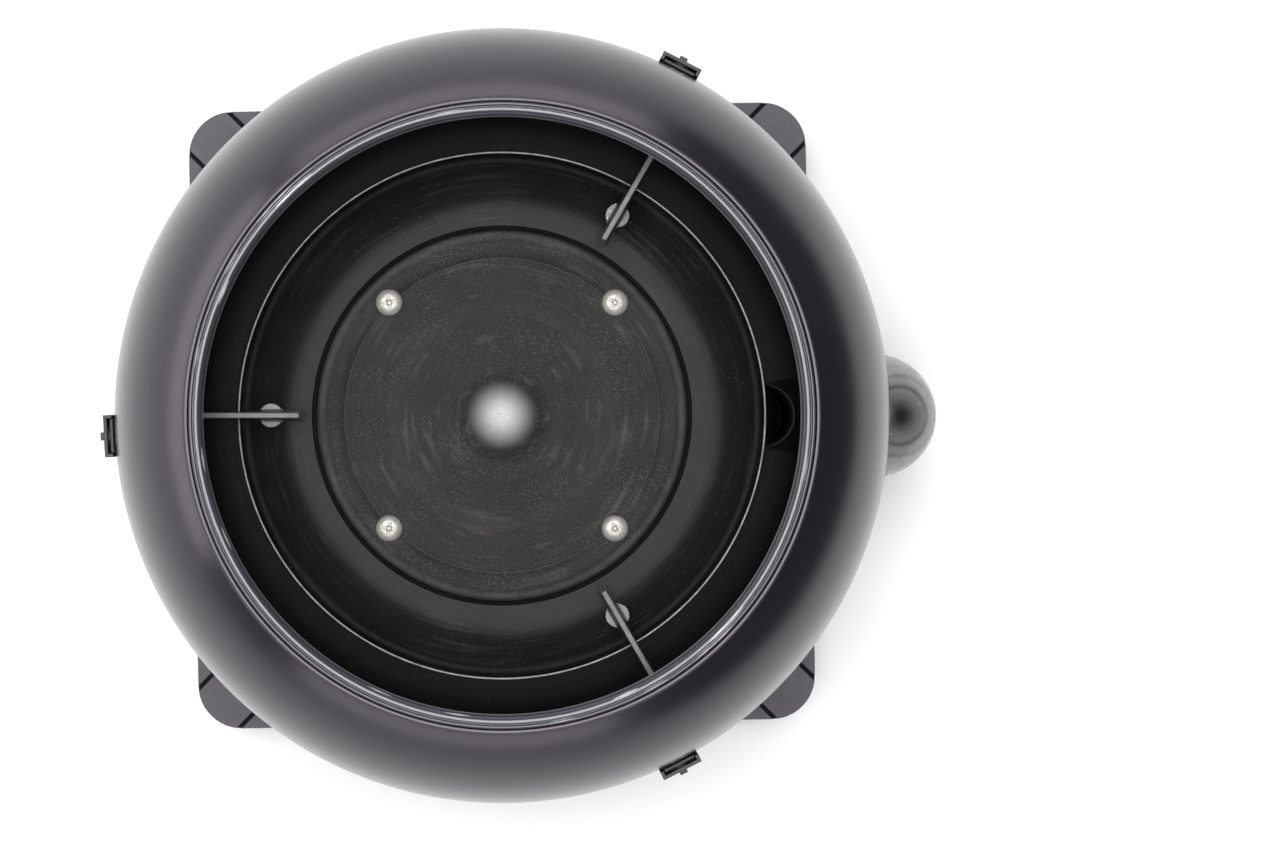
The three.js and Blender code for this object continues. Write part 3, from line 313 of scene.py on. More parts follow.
def rounded_edges(piece, width, sharp=35, segments=2, limit=28):
    """Rounds a piece's sharp edges by a width in millimetres."""
    bevel = piece.modifiers.new("Edges", "BEVEL")
    bevel.width = width / 1000
    bevel.segments = segments
    bevel.limit_method = "ANGLE"
    bevel.angle_limit = math.radians(limit)
    bevel.use_clamp_overlap = True
    settle(piece, sharp)
    # Large flat faces take over the shading beside the rounded edges.
    level = piece.modifiers.new("Flat faces", "WEIGHTED_NORMAL")
    level.keep_sharp = True
    level.weight = 90
    return settle(piece, None)


def cad_copy(name, node):
    """A new piece with a CAD node's own shape, with its flat faces joined up."""
    bm = bmesh.new()
    bm.from_mesh(frame["nodes"][node].data)
    bmesh.ops.remove_doubles(bm, verts=bm.verts, dist=1e-6)
    bmesh.ops.dissolve_limit(bm, angle_limit=math.radians(1), verts=bm.verts, edges=bm.edges)
    return new_object(name, finished_mesh(bm, name))


def fitted(piece, finish, *nodes):
    """Gives a piece its finish and its body, and hides the CAD nodes it stands for."""
    piece.data.materials.clear()
    piece.data.materials.append(FINISHES[finish])
    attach(piece, BODY_OF[nodes[0]])
    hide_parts(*nodes)
    return piece


def fine_copy(node, finish, width, name=None, **edges):
    """A CAD node's own shape with rounded edges, fitted in the node's place."""
    piece = cad_copy(name or f"{node}_fine", node)
    rounded_edges(piece, width, **edges)
    return fitted(piece, finish, node)


def refinish(piece, finish, chosen):
    """Gives the chosen faces of a piece a second finish."""
    piece.data.materials.append(FINISHES[finish])
    for face in piece.data.polygons:
        if chosen(face.center * 1000, face.normal):
            face.material_index = 1


# ---------------------------------------------------------------- surface effects

def add(tree, kind, place, settings=None, **values):
    """Adds a node, sets its settings by name and its input values by name."""
    node = tree.nodes.new(kind)
    node.location = (place[0] * 200, place[1] * 200)
    for name, value in (settings or {}).items():
        setattr(node, name, value)
    for name, value in values.items():
        node.inputs[name.replace("_", " ")].default_value = value
    return node


def maths(tree, operation, place, first, second=None, clamp=False):
    """A Math node whose inputs are sockets or numbers."""
    node = add(tree, "ShaderNodeMath", place, {"operation": operation, "use_clamp": clamp})
    for index, value in enumerate((first, second)):
        if value is None:
            continue
        if isinstance(value, bpy.types.NodeSocket):
            tree.links.new(value, node.inputs[index])
        else:
            node.inputs[index].default_value = value
    return node.outputs[0]


def axis_distance(group, place, sideways, forward):
    """The distance from an upright line, from two sideways coordinates."""
    column, row = place
    across = maths(group, "MULTIPLY", (column - 2, row + 0.5), sideways, sideways)
    along = maths(group, "MULTIPLY", (column - 2, row), forward, forward)
    return maths(group, "SQRT", place, maths(group, "ADD", (column - 1, row), across, along))


def broken_up(group, row, where, scale, roughness, share):
    """A value of 1 that drops in uneven chips, by a share."""
    chips = add(group, "ShaderNodeTexNoise", (-2, row), Scale=scale, Detail=4.0,
        Roughness=roughness)
    group.links.new(where.outputs["Object"], chips.inputs["Vector"])
    return maths(group, "SUBTRACT", (2, row), 1.0,
        maths(group, "MULTIPLY", (1, row), chips.outputs["Fac"], share), clamp=True)


def effect_group(name, inputs, outputs):
    """An empty shader node group with named value inputs and outputs."""
    group = bpy.data.node_groups.new(name, "ShaderNodeTree")
    for label, default in inputs:
        socket = group.interface.new_socket(name=label, in_out="INPUT",
            socket_type="NodeSocketFloat")
        socket.default_value = default
    for label in outputs:
        group.interface.new_socket(name=label, in_out="OUTPUT", socket_type="NodeSocketFloat")
    start = add(group, "NodeGroupInput", (-6, 0))
    end = add(group, "NodeGroupOutput", (6, 0))
    return group, start, end


def moulded_grain():
    """Fine, even unevenness of a moulded or cast surface."""
    group, start, end = effect_group("Moulded grain", [("Scale", 900.0), ("Cloud scale", 30.0)],
        ["Grain", "Clouds"])
    link = group.links.new
    where = add(group, "ShaderNodeTexCoord", (-6, 2))
    fine = add(group, "ShaderNodeTexNoise", (-3, 2), Detail=3.0, Roughness=0.6)
    cloud = add(group, "ShaderNodeTexNoise", (-3, -1), Detail=4.0, Roughness=0.55)
    for noise, label in ((fine, "Scale"), (cloud, "Cloud scale")):
        link(where.outputs["Object"], noise.inputs["Vector"])
        link(start.outputs[label], noise.inputs["Scale"])
    link(fine.outputs["Fac"], end.inputs["Grain"])
    link(cloud.outputs["Fac"], end.inputs["Clouds"])
    return group


def turned_scuffs():
    """Fine streaks that run round the body's axis, as waste leaves in a bowl."""
    group, start, end = effect_group("Turned scuffs",
        [("Fineness", 700.0), ("Streak length", 2.0), ("Cover", 0.5)],
        ["Streaks", "Height"])
    link = group.links.new
    where = add(group, "ShaderNodeTexCoord", (-8, 1))
    parts = add(group, "ShaderNodeSeparateXYZ", (-7, 1))
    link(where.outputs["Object"], parts.inputs[0])
    angle = maths(group, "ARCTAN2", (-6, 2), parts.outputs[1], parts.outputs[0])
    radius = axis_distance(group, (-5, 0), parts.outputs[0], parts.outputs[1])
    cosine = maths(group, "COSINE", (-5, 2.5), angle)
    sine = maths(group, "SINE", (-5, 2), angle)
    sweep = add(group, "ShaderNodeCombineXYZ", (-3, 1))
    link(maths(group, "MULTIPLY", (-4, 2.5), cosine, start.outputs["Streak length"]),
        sweep.inputs[0])
    link(maths(group, "MULTIPLY", (-4, 2), sine, start.outputs["Streak length"]),
        sweep.inputs[1])
    link(maths(group, "MULTIPLY", (-4, 1), radius, start.outputs["Fineness"]),
        sweep.inputs[2])
    fine = add(group, "ShaderNodeTexNoise", (-2, 1), Scale=1.0, Detail=5.0, Roughness=0.62)
    link(sweep.outputs[0], fine.inputs["Vector"])
    patch = add(group, "ShaderNodeTexNoise", (-2, -1), Scale=45.0, Detail=3.0)
    link(where.outputs["Object"], patch.inputs["Vector"])
    edge = maths(group, "SUBTRACT", (0, 0), 1.0, start.outputs["Cover"])
    ranged = add(group, "ShaderNodeMapRange", (1, 1), {"interpolation_type": "SMOOTHSTEP"},
        To_Min=0.0, To_Max=1.0)
    link(maths(group, "MULTIPLY", (0, 1), fine.outputs["Fac"],
        maths(group, "ADD", (-1, -1), patch.outputs["Fac"], 0.5)), ranged.inputs["Value"])
    link(edge, ranged.inputs["From Min"])
    link(maths(group, "ADD", (0.5, 0), edge, 0.35), ranged.inputs["From Max"])
    link(ranged.outputs[0], end.inputs["Streaks"])
    link(fine.outputs["Fac"], end.inputs["Height"])
    return group


def ring_mask():
    """A soft-edged, uneven band at one distance from the body's axis, or from one beside it."""
    group, start, end = effect_group("Ring mask",
        [("Radius", 0.05), ("Width", 0.002), ("Broken", 0.3), ("Offset", 0.0)], ["Mask"])
    link = group.links.new
    where = add(group, "ShaderNodeTexCoord", (-6, 2))
    parts = add(group, "ShaderNodeSeparateXYZ", (-5, 2))
    link(where.outputs["Object"], parts.inputs[0])
    sideways = maths(group, "SUBTRACT", (-4.5, 2.5), parts.outputs[0], start.outputs["Offset"])
    radius = axis_distance(group, (-2, 2), sideways, parts.outputs[1])
    away = maths(group, "ABSOLUTE", (0, 2), maths(group, "SUBTRACT", (-1, 2), radius,
        start.outputs["Radius"]))
    band = add(group, "ShaderNodeMapRange", (2, 1), {"interpolation_type": "SMOOTHSTEP"},
        From_Min=0.0, To_Min=1.0, To_Max=0.0)
    link(away, band.inputs["Value"])
    link(start.outputs["Width"], band.inputs["From Max"])
    kept = broken_up(group, -1, where, 260.0, 0.7, start.outputs["Broken"])
    link(maths(group, "MULTIPLY", (4, 1), band.outputs[0], kept), end.inputs["Mask"])
    return group


def worn_edges():
    """A mask that is strong on outward edges, broken up as handling does."""
    group, start, end = effect_group("Worn edges", [("Reach", 0.06), ("Broken", 0.5)], ["Mask"])
    link = group.links.new
    shape = add(group, "ShaderNodeNewGeometry", (-5, 2))
    where = add(group, "ShaderNodeTexCoord", (-6, -1))
    band = add(group, "ShaderNodeMapRange", (0, 1), {"interpolation_type": "SMOOTHSTEP"},
        From_Min=0.51, To_Min=0.0, To_Max=1.0)
    link(shape.outputs["Pointiness"], band.inputs["Value"])
    link(maths(group, "ADD", (-2, 0), start.outputs["Reach"], 0.52),
        band.inputs["From Max"])
    kept = broken_up(group, -1, where, 420.0, 0.65, start.outputs["Broken"])
    link(maths(group, "MULTIPLY", (3, 1), band.outputs[0], kept), end.inputs["Mask"])
    return group


def dust_specks():
    """Small scattered specks of dust and scale."""
    group, start, end = effect_group("Dust specks",
        [("Scale", 600.0), ("Size", 0.12), ("Cover", 0.5)], ["Mask"])
    link = group.links.new
    where = add(group, "ShaderNodeTexCoord", (-6, 2))
    cells = add(group, "ShaderNodeTexVoronoi", (-4, 2))
    link(where.outputs["Object"], cells.inputs["Vector"])
    link(start.outputs["Scale"], cells.inputs["Scale"])
    patch = add(group, "ShaderNodeTexNoise", (-4, -1), Scale=60.0, Detail=2.0)
    link(where.outputs["Object"], patch.inputs["Vector"])
    dot = maths(group, "LESS_THAN", (0, 2), cells.outputs["Distance"],
        maths(group, "MULTIPLY", (-1, 0), start.outputs["Size"], patch.outputs["Fac"]))
    there = maths(group, "LESS_THAN", (0, -1), maths(group, "FRACT", (-1, -1), maths(
        group, "MULTIPLY", (-2, -1), cells.outputs["Color"], 7.3)), start.outputs["Cover"])
    link(maths(group, "MULTIPLY", (3, 1), dot, there), end.inputs["Mask"])
    return group


EFFECTS = {}


def effect(material, name, place, **values):
    """Places one of the effect groups in a material with its own values."""
    node = add(material.node_tree, "ShaderNodeGroup", place)
    node.node_tree = EFFECTS[name]
    for label, value in values.items():
        node.inputs[label.replace("_", " ")].default_value = value
    return node


def blended(material, place, factor, first, second):
    """Mixes two colours, or a colour and a socket, by a mask."""
    node = add(material.node_tree, "ShaderNodeMix", place, {"data_type": "RGBA"})
    link = material.node_tree.links.new
    link(factor, node.inputs[0])
    for index, value in ((6, first), (7, second)):
        if isinstance(value, bpy.types.NodeSocket):
            link(value, node.inputs[index])
        else:
            node.inputs[index].default_value = (*value, 1.0)
    return node.outputs[2]


def between(material, place, factor, first, second):
    """A number that goes from one value to another as a mask goes from 0 to 1."""
    node = add(material.node_tree, "ShaderNodeMapRange", place, To_Min=first, To_Max=second)
    material.node_tree.links.new(factor, node.inputs["Value"])
    return node.outputs[0]


def new_finish(name, metallic=0.0, specular=0.5):
    """A material with only its shader, ready for its surface."""
    material = bpy.data.materials.new(name)
    material.use_nodes = True
    material.node_tree.nodes.clear()
    shader = add(material.node_tree, "ShaderNodeBsdfPrincipled", (4, 0))
    shader.inputs["Metallic"].default_value = metallic
    shader.inputs["Specular IOR Level"].default_value = specular
    output = add(material.node_tree, "ShaderNodeOutputMaterial", (6, 0))
    material.node_tree.links.new(shader.outputs[0], output.inputs["Surface"])
    return material, shader


def tones(colour, dark, light):
    """A darker and a lighter tone of a colour."""
    return tuple(value * dark for value in colour), tuple(min(1.0,
        value * light) for value in colour)


def speck_colour(colour, gain, lift):
    """The pale colour of dust on a surface."""
    return tuple(min(1.0, value * gain + lift) for value in colour)


def bumped(material, shader, height, depth):
    """Feeds a height to the shader's normal, with its depth in millimetres."""
    bump = add(material.node_tree, "ShaderNodeBump", (2, -3), Strength=1.0, Distance=depth / 1000)
    material.node_tree.links.new(height, bump.inputs["Height"])
    material.node_tree.links.new(bump.outputs[0], shader.inputs["Normal"])


def ringed(material, shade, rings):
    """Lays rings of (radius, width, offset, colour, broken) over a shade, in millimetres."""
    for index, (radius, width, offset, colour, broken) in enumerate(rings):
        mask = effect(material, "Ring mask", (-5, 4 + index), Radius=radius / 1000,
            Width=width / 1000,
            Offset=offset / 1000, Broken=broken)
        shade = blended(material, (-1 + index, 4 + index), mask.outputs[0], shade, colour)
    return shade


def moulded_finish(name, colour, roughness, spread=0.06, grain=700.0, depth=0.012, worn=None,
        worn_share=1.0, dust=0.0, metallic=0.0, specular=0.5, cloud=30.0, tint=(1, 1, 1),
        rings=()):
    """Moulded, cast or drawn material: clouded colour, fine grain, worn edges and a little dust."""
    material, shader = new_finish(name, metallic, specular)
    shader.inputs["Specular Tint"].default_value = (*tint, 1.0)
    link = material.node_tree.links.new
    surface = effect(material, "Moulded grain", (-4, 0), Scale=grain, Cloud_scale=cloud)
    shade = blended(material, (-1, 1), surface.outputs["Clouds"], *tones(colour, 0.8, 1.22))
    shade = ringed(material, shade, rings)
    if worn:
        edge = effect(material, "Worn edges", (-4, 2), Reach=0.05, Broken=0.7)
        share = maths(material.node_tree, "MULTIPLY", (-2, 2), edge.outputs[0], worn_share)
        shade = blended(material, (0, 1), share, shade, worn)
    if dust:
        specks = effect(material, "Dust specks", (-4, 3), Scale=520.0, Size=0.16, Cover=dust)
        shade = blended(material, (1, 1), specks.outputs[0], shade, speck_colour(colour, 4, 0.03))
    link(shade, shader.inputs["Base Color"])
    link(between(material, (1, 0), surface.outputs["Clouds"], max(0.03, roughness - spread),
        roughness + spread), shader.inputs["Roughness"])
    bumped(material, shader, surface.outputs["Grain"], depth)
    return material


def scuffed_finish(name, colour, streak_colour, rings=(), cover=0.5, fineness=700.0, roughness=0.4,
        depth=0.03, specular=0.5, polished=None, grit=900.0, grit_size=0.2):
    """Plastic or metal scuffed in rings round the axis, and smoother at a polished place."""
    material, shader = new_finish(name, 0.0, specular)
    link = material.node_tree.links.new
    surface = effect(material, "Moulded grain", (-5, -1), Scale=1100.0, Cloud_scale=42.0)
    streaks = effect(material, "Turned scuffs", (-5, 1), Fineness=fineness, Streak_length=2.2,
        Cover=cover)
    shade = blended(material, (-3, 1), surface.outputs["Clouds"], *tones(colour, 0.75, 1.3))
    shade = blended(material, (-2, 1), streaks.outputs["Streaks"], shade, streak_colour)
    shade = ringed(material, shade, rings)
    specks = effect(material, "Dust specks", (-5, -3), Scale=grit, Size=grit_size, Cover=0.5)
    shade = blended(material, (2, 1), specks.outputs[0], shade, speck_colour(colour, 5, 0.05))
    link(shade, shader.inputs["Base Color"])
    rough = between(material, (0, -1), streaks.outputs["Height"], roughness - 0.1, roughness + 0.14)
    if polished:
        centre, reach, smooth = polished
        mask = effect(material, "Ring mask", (-5, -5), Radius=centre / 1000, Width=reach / 1000,
            Broken=0.0)
        mixed = add(material.node_tree, "ShaderNodeMix", (2, -1), {"data_type": "FLOAT"})
        link(mask.outputs[0], mixed.inputs[0])
        link(rough, mixed.inputs[2])
        mixed.inputs[3].default_value = smooth
        rough = mixed.outputs[0]
    link(rough, shader.inputs["Roughness"])
    height = maths(material.node_tree, "ADD", (1, -3), streaks.outputs["Height"],
        surface.outputs["Grain"])
    bumped(material, shader, height, depth)
    return material


def banded_finish(name, wave, waviness, detail, grain, cloud, dark, pale, gap_colour, roughness,
        depth):
    """Metal in fine bands along the motor's axis: wires of a winding, or stacked sheets."""
    material, shader = new_finish(name, 1.0)
    link = material.node_tree.links.new
    where = add(material.node_tree, "ShaderNodeTexCoord", (-6, 0))
    bands = add(material.node_tree, "ShaderNodeTexWave", (-4, 0), wave, Scale=320.0,
        Distortion=waviness,
        Detail=detail)
    link(where.outputs["Object"], bands.inputs["Vector"])
    surface = effect(material, "Moulded grain", (-4, 2), Scale=grain, Cloud_scale=cloud)
    shade = blended(material, (-1, 1), surface.outputs["Clouds"], dark, pale)
    shade = blended(material, (1, 1), bands.outputs["Fac"], gap_colour, shade)
    link(shade, shader.inputs["Base Color"])
    link(between(material, (1, 0), surface.outputs["Clouds"], *roughness),
        shader.inputs["Roughness"])
    bumped(material, shader, bands.outputs["Fac"], depth)
    return material


def studio_finish(name, specular, grain, cloud, darker, lighter, roughness, piece):
    """A plain, evenly clouded finish for the floor or the card."""
    material, shader = new_finish(name, specular=specular)
    surface = effect(material, "Moulded grain", (-4, 0), Scale=grain, Cloud_scale=cloud)
    shade = blended(material, (0, 0), surface.outputs["Clouds"], darker, lighter)
    link = material.node_tree.links.new
    link(shade, shader.inputs["Base Color"])
    link(between(material, (0, -1), surface.outputs["Clouds"], *roughness),
        shader.inputs["Roughness"])
    piece.data.materials.append(material)


FINISHES = {}


def make_finishes(shells, chamber):
    """Builds the effect groups and every finish once."""
    for name, build in (("Moulded grain", moulded_grain), ("Turned scuffs", turned_scuffs),
            ("Ring mask", ring_mask), ("Worn edges", worn_edges), ("Dust specks", dust_specks)):
        EFFECTS[name] = build()
    shell, base = tuple(shells.colour), tuple(shells.base_colour)
    bowl, stud = tuple(chamber.bowl_colour), tuple(chamber.stud_colour)
    # Centre of the painted reflection on the elbow's dome, in millimetres along X.
    crown = high("outlet_elbow").x - 16
    moulded = {
        "shell": ("Gloss moulded shell", shell, 0.24, dict(
        spread=0.03, grain=900.0, depth=0.006, worn=(0.06, 0.06, 0.065), worn_share=0.4, dust=0.06,
        specular=0.4, tint=(1.0, 0.88, 1.0))),
        "rim": ("Rim ring plastic", tuple(value * 3.0 for value in shell), 0.3, dict(
        spread=0.05, depth=0.008, worn=(0.45, 0.45, 0.46), dust=0.1, specular=0.7)),
        "base": ("Satin base plastic", base, 0.36, dict(
        grain=1200.0, depth=0.02, worn=(0.09, 0.09, 0.095), worn_share=0.8, dust=0.1, specular=0.22,
        cloud=75.0, tint=(1.0, 0.93, 1.04))),
        # Painted shade: the base's grooves are darkened as if in shadow.
        "groove": ("Base groove painted shade", tuple(value * 0.4 for value in base), 0.7,
        dict(dust=0.1, specular=0.08)),
        # The drain port's upright walls are lighter than the deck round them: painted light, as on a
        # lit inner wall.
        "throat": ("Drain port wall painted light", (0.03, 0.03, 0.032), 0.22,
        dict(depth=0.01, dust=0.1, specular=0.6)),
        "vane": ("Vane plastic", (0.012, 0.012, 0.015), 0.38, dict(
        worn=(0.28, 0.28, 0.29), dust=0.2, depth=0.02, specular=0.16)),
        # The elbow's rings are a painted reflection: a dark spot near the dome's top and lighter rings
        # round it towards its sides.
        "elbow": ("Elbow plastic with painted reflection", (0.21, 0.204, 0.206), 0.28, dict(
        spread=0.08, grain=500.0, depth=0.03, worn=(0.3, 0.3, 0.3), worn_share=0.5, dust=0.15,
        specular=0.6, cloud=90.0, rings=(
        (0.0, 15.0, crown, (0.05, 0.048, 0.05), 0.0), (0.0, 7.0, crown, (0.006, 0.006, 0.008), 0.0),
        (10.6, 1.5, crown, (0.075, 0.072, 0.075), 0.35),
        (14.8, 1.3, crown, (0.12, 0.117, 0.12), 0.45),
        (17.8, 1.0, crown, (0.18, 0.176, 0.18), 0.5)))),
        "stud": ("Grey stud", stud, 0.5, dict(
        worn=(0.5, 0.5, 0.5), worn_share=0.7, dust=0.2, depth=0.02, specular=0.3)),
        "nickel": ("Bright nickel", (0.46, 0.45, 0.42), 0.36, dict(
        spread=0.14, metallic=0.6, depth=0.05, worn=(0.75, 0.74, 0.7), dust=0.2, cloud=420.0,
        grain=1800.0)),
        "steel": ("Zinc plated steel", (0.46, 0.46, 0.47), 0.34, dict(
        metallic=1.0, depth=0.01, worn=(0.7, 0.7, 0.7), dust=0.1)),
        "dark steel": ("Blackened latch steel", (0.012, 0.012, 0.014), 0.5, dict(
        specular=0.25, depth=0.01, worn=(0.06, 0.06, 0.065), dust=0.1)),
        "aluminium": ("Cast aluminium", (0.52, 0.53, 0.54), 0.5, dict(
        spread=0.1, metallic=1.0, grain=260.0, depth=0.08, worn=(0.75, 0.75, 0.75))),
        "rubber": ("Black rubber", (0.012, 0.012, 0.012), 0.75, dict(
        grain=1500.0, depth=0.03, dust=0.3, specular=0.35)),
        "insulator": ("Dark insulator", (0.03, 0.028, 0.026), 0.5, dict(depth=0.02, dust=0.1)),
        "red": ("Red button plastic", (0.45, 0.018, 0.014), 0.35, dict(
        depth=0.01, worn=(0.7, 0.12, 0.1), worn_share=0.5)),
    }
    for key, (name, colour, roughness, surface) in moulded.items():
        FINISHES[key] = moulded_finish(name, colour, roughness, **surface)
    # The deck is a tenth as light as the bowl: partly its own dark plastic, partly painted shade from
    # the body's overhang.
    FINISHES["deck"] = scuffed_finish("Drain deck plastic darkened for shade", tuple(value * 0.1 for value in bowl),
        (0.003, 0.003, 0.003), cover=0.35, roughness=0.2, specular=0.02,
        depth=0.01)
    FINISHES["bowl"] = scuffed_finish(
        "Scuffed bowl", tuple(value * 0.42 for value in bowl), (0.024, 0.022, 0.023),
        ((91.85, 0.42, 0, (0.6, 0.59, 0.58), 1.0), (89.6, 1.2, 0, (0.04, 0.038, 0.038), 0.9)),
        roughness=0.24, specular=0.06, depth=0.02)
    # On the plate, the lighter band on the rounded edge and the pale patch on the centre dome are
    # painted highlights; the rings at 55.8 and 38.5 mm are its own groove mark and scuffs.
    FINISHES["plate"] = scuffed_finish(
        "Scuffed grind plate with painted highlights", tuple(value * 0.7 for value in bowl), (0.05, 0.046, 0.046),
        ((64.2, 2.2, 0, (0.075, 0.072, 0.074), 0.9), (55.8, 0.35, 0, (0.05, 0.048, 0.045), 0.5),
        (38.5, 5.0, 0, (0.022, 0.02, 0.02), 1.0), (0.0, 13.5, 0, (0.5, 0.5, 0.51), 0.2)),
        fineness=420.0, roughness=0.46, polished=(0.0, 16.0, 0.24), specular=0.07, grit=2300.0,
        grit_size=0.42)
    FINISHES["laminate"] = banded_finish(
        "Stacked steel sheets", {"wave_type": "BANDS", "bands_direction": "Z"}, 0.4, 1.0, 400.0,
        50.0,
        (0.09, 0.09, 0.10), (0.2, 0.19, 0.18), (0.03, 0.03, 0.035), (0.4, 0.65), 0.15)
    FINISHES["copper"] = banded_finish(
        "Enamelled copper wire", {"wave_type": "RINGS", "rings_direction": "Z"}, 1.5, 2.0, 300.0,
        80.0,
        (0.30, 0.085, 0.03), (0.62, 0.22, 0.08), (0.10, 0.03, 0.012), (0.28, 0.45), 0.3)


# ---------------------------------------------------------------- the pieces

class DISPOSAL_OT_finishes(bpy.types.Operator):
    """Build the surface effects and every finish that the pieces share"""
    bl_idname = "disposal.finishes"
    bl_label = "Finishes"

    def execute(self, context):
        make_finishes(context.scene.disposal_shells, context.scene.disposal_chamber)
        return {"FINISHED"}


def body_curve(sizes):
    """The centre and half width of the body's outer curve, and its drop to the foot."""
    centre = sizes.crown_centre * 1000
    half_width = BODY_RADIUS - centre
    foot_share = (sizes.foot_radius * 1000 - centre) / half_width
    return centre, half_width, (SEAM - SHELL_FOOT) / math.sqrt(1 - foot_share ** 2)


def pipe_radius():
    """The radius of the hole that clears the outlet pipe."""
    return (high("outlet_pipe").z - low("outlet_pipe").z) / 2 + GAP


class DISPOSAL_OT_shells(bpy.types.Operator):
    """Make the two halves of the bulb-shaped body and the grooved ring in its mouth"""
    bl_idname = "disposal.shells"
    bl_label = "Shells and rim ring"

    def execute(self, context):
        sizes = context.scene.disposal_shells
        wall, mouth = sizes.wall * 1000, sizes.mouth_radius * 1000
        centre, half_width, drop = body_curve(sizes)
        lip = RIM_OUTER + 0.9
        rise = (SHELL_TOP - SEAM) / math.sqrt(1 - ((lip - centre) / half_width) ** 2)

        def outline_arc(start_height, end_height, half_height, inset, steps):
            start, end = (math.degrees(math.asin((height - SEAM) / (half_height - inset)))
                for height in (start_height, end_height))
            return arc((centre, SEAM), (half_width - inset, half_height - inset), start, end, steps)

        # Upper half: crown, rolled lip, the ring's seat and the shelf under it.
        foot = low("upper_shell").z
        ring_foot = low("rim_ring").z
        seat, shelf = RIM_OUTER + GAP, ring_foot - GAP
        crown = outline_arc(foot + 0.5, SHELL_TOP - 0.5, rise, 0, 72)
        outline = [(crown[0][0] - 0.5, foot, 0.3), (crown[0][0] - 0.02, foot + 0.12), *crown,
            (crown[-1][0] - 0.25, SHELL_TOP, 0.25), (seat, SHELL_TOP - 0.15, 0.2), (seat, shelf),
            (seat - 3.1, shelf, 0.3), (seat - 3.1, shelf - 3, 0.4),
            *outline_arc(shelf - 3, foot + 0.3, rise, wall, 48)]
        fitted(turned("body_upper_half", softened(outline), 256), "shell", "upper_shell")

        # Grooved ring: two rounded ridges with a channel between them.
        outline = [(mouth, ring_foot), (RIM_OUTER, ring_foot)]
        outline += [(RIM_OUTER - inset, RIM_TOP - depth, rounding) for inset, depth, rounding in (
            (0, 1.3, 0.3), (0.35, 0.75, 0.3), (0.6, 0.2, 0.25), (1.15, 0.2, 0.3), (1.4, 1.2, 0.25),
            (1.75, 1.2, 0.25), (2.0, 0, 0.35), (3.1, 0, 0.5))]
        outline += [(mouth + 0.45, RIM_TOP - 0.75, 0.5), (mouth, RIM_TOP - 1.5, 0.4)]
        fitted(turned("mouth_ring", softened(outline, 5), 256), "rim", "rim_ring")

        # Lower half: the same curve turned down to its foot, with the deck's seat and the outlet hole.
        top = high("lower_shell").z
        seat, ledge, floor = DECK_OUTER + GAP, DECK_LEDGE - GAP, SHELL_FOOT + wall
        outline = [(sizes.foot_radius * 1000 - 0.1, SHELL_FOOT, 0.3),
            *outline_arc(SHELL_FOOT + 0.4, top - 0.4, drop, 0, 96), (BODY_RADIUS - 0.5, top, 0.3),
            (seat, top, 0.2), (seat, ledge, 0.2), (seat - 5, ledge, 0.3),
            (seat - 5, ledge - 4, 0.5),
            *outline_arc(ledge - 4.2, floor, drop, wall, 48), (50, floor, 0.5),
            (50, SHELL_FOOT, 0.3)]
        lower = turned("body_lower_half", softened(outline), 256)
        level = middle("outlet_pipe").z
        combine(lower, cutter_rod(pipe_radius(), (94, 0, level), (BODY_RADIUS + 5, 0, level)))
        fitted(lower, "shell", "lower_shell")
        return {"FINISHED"}


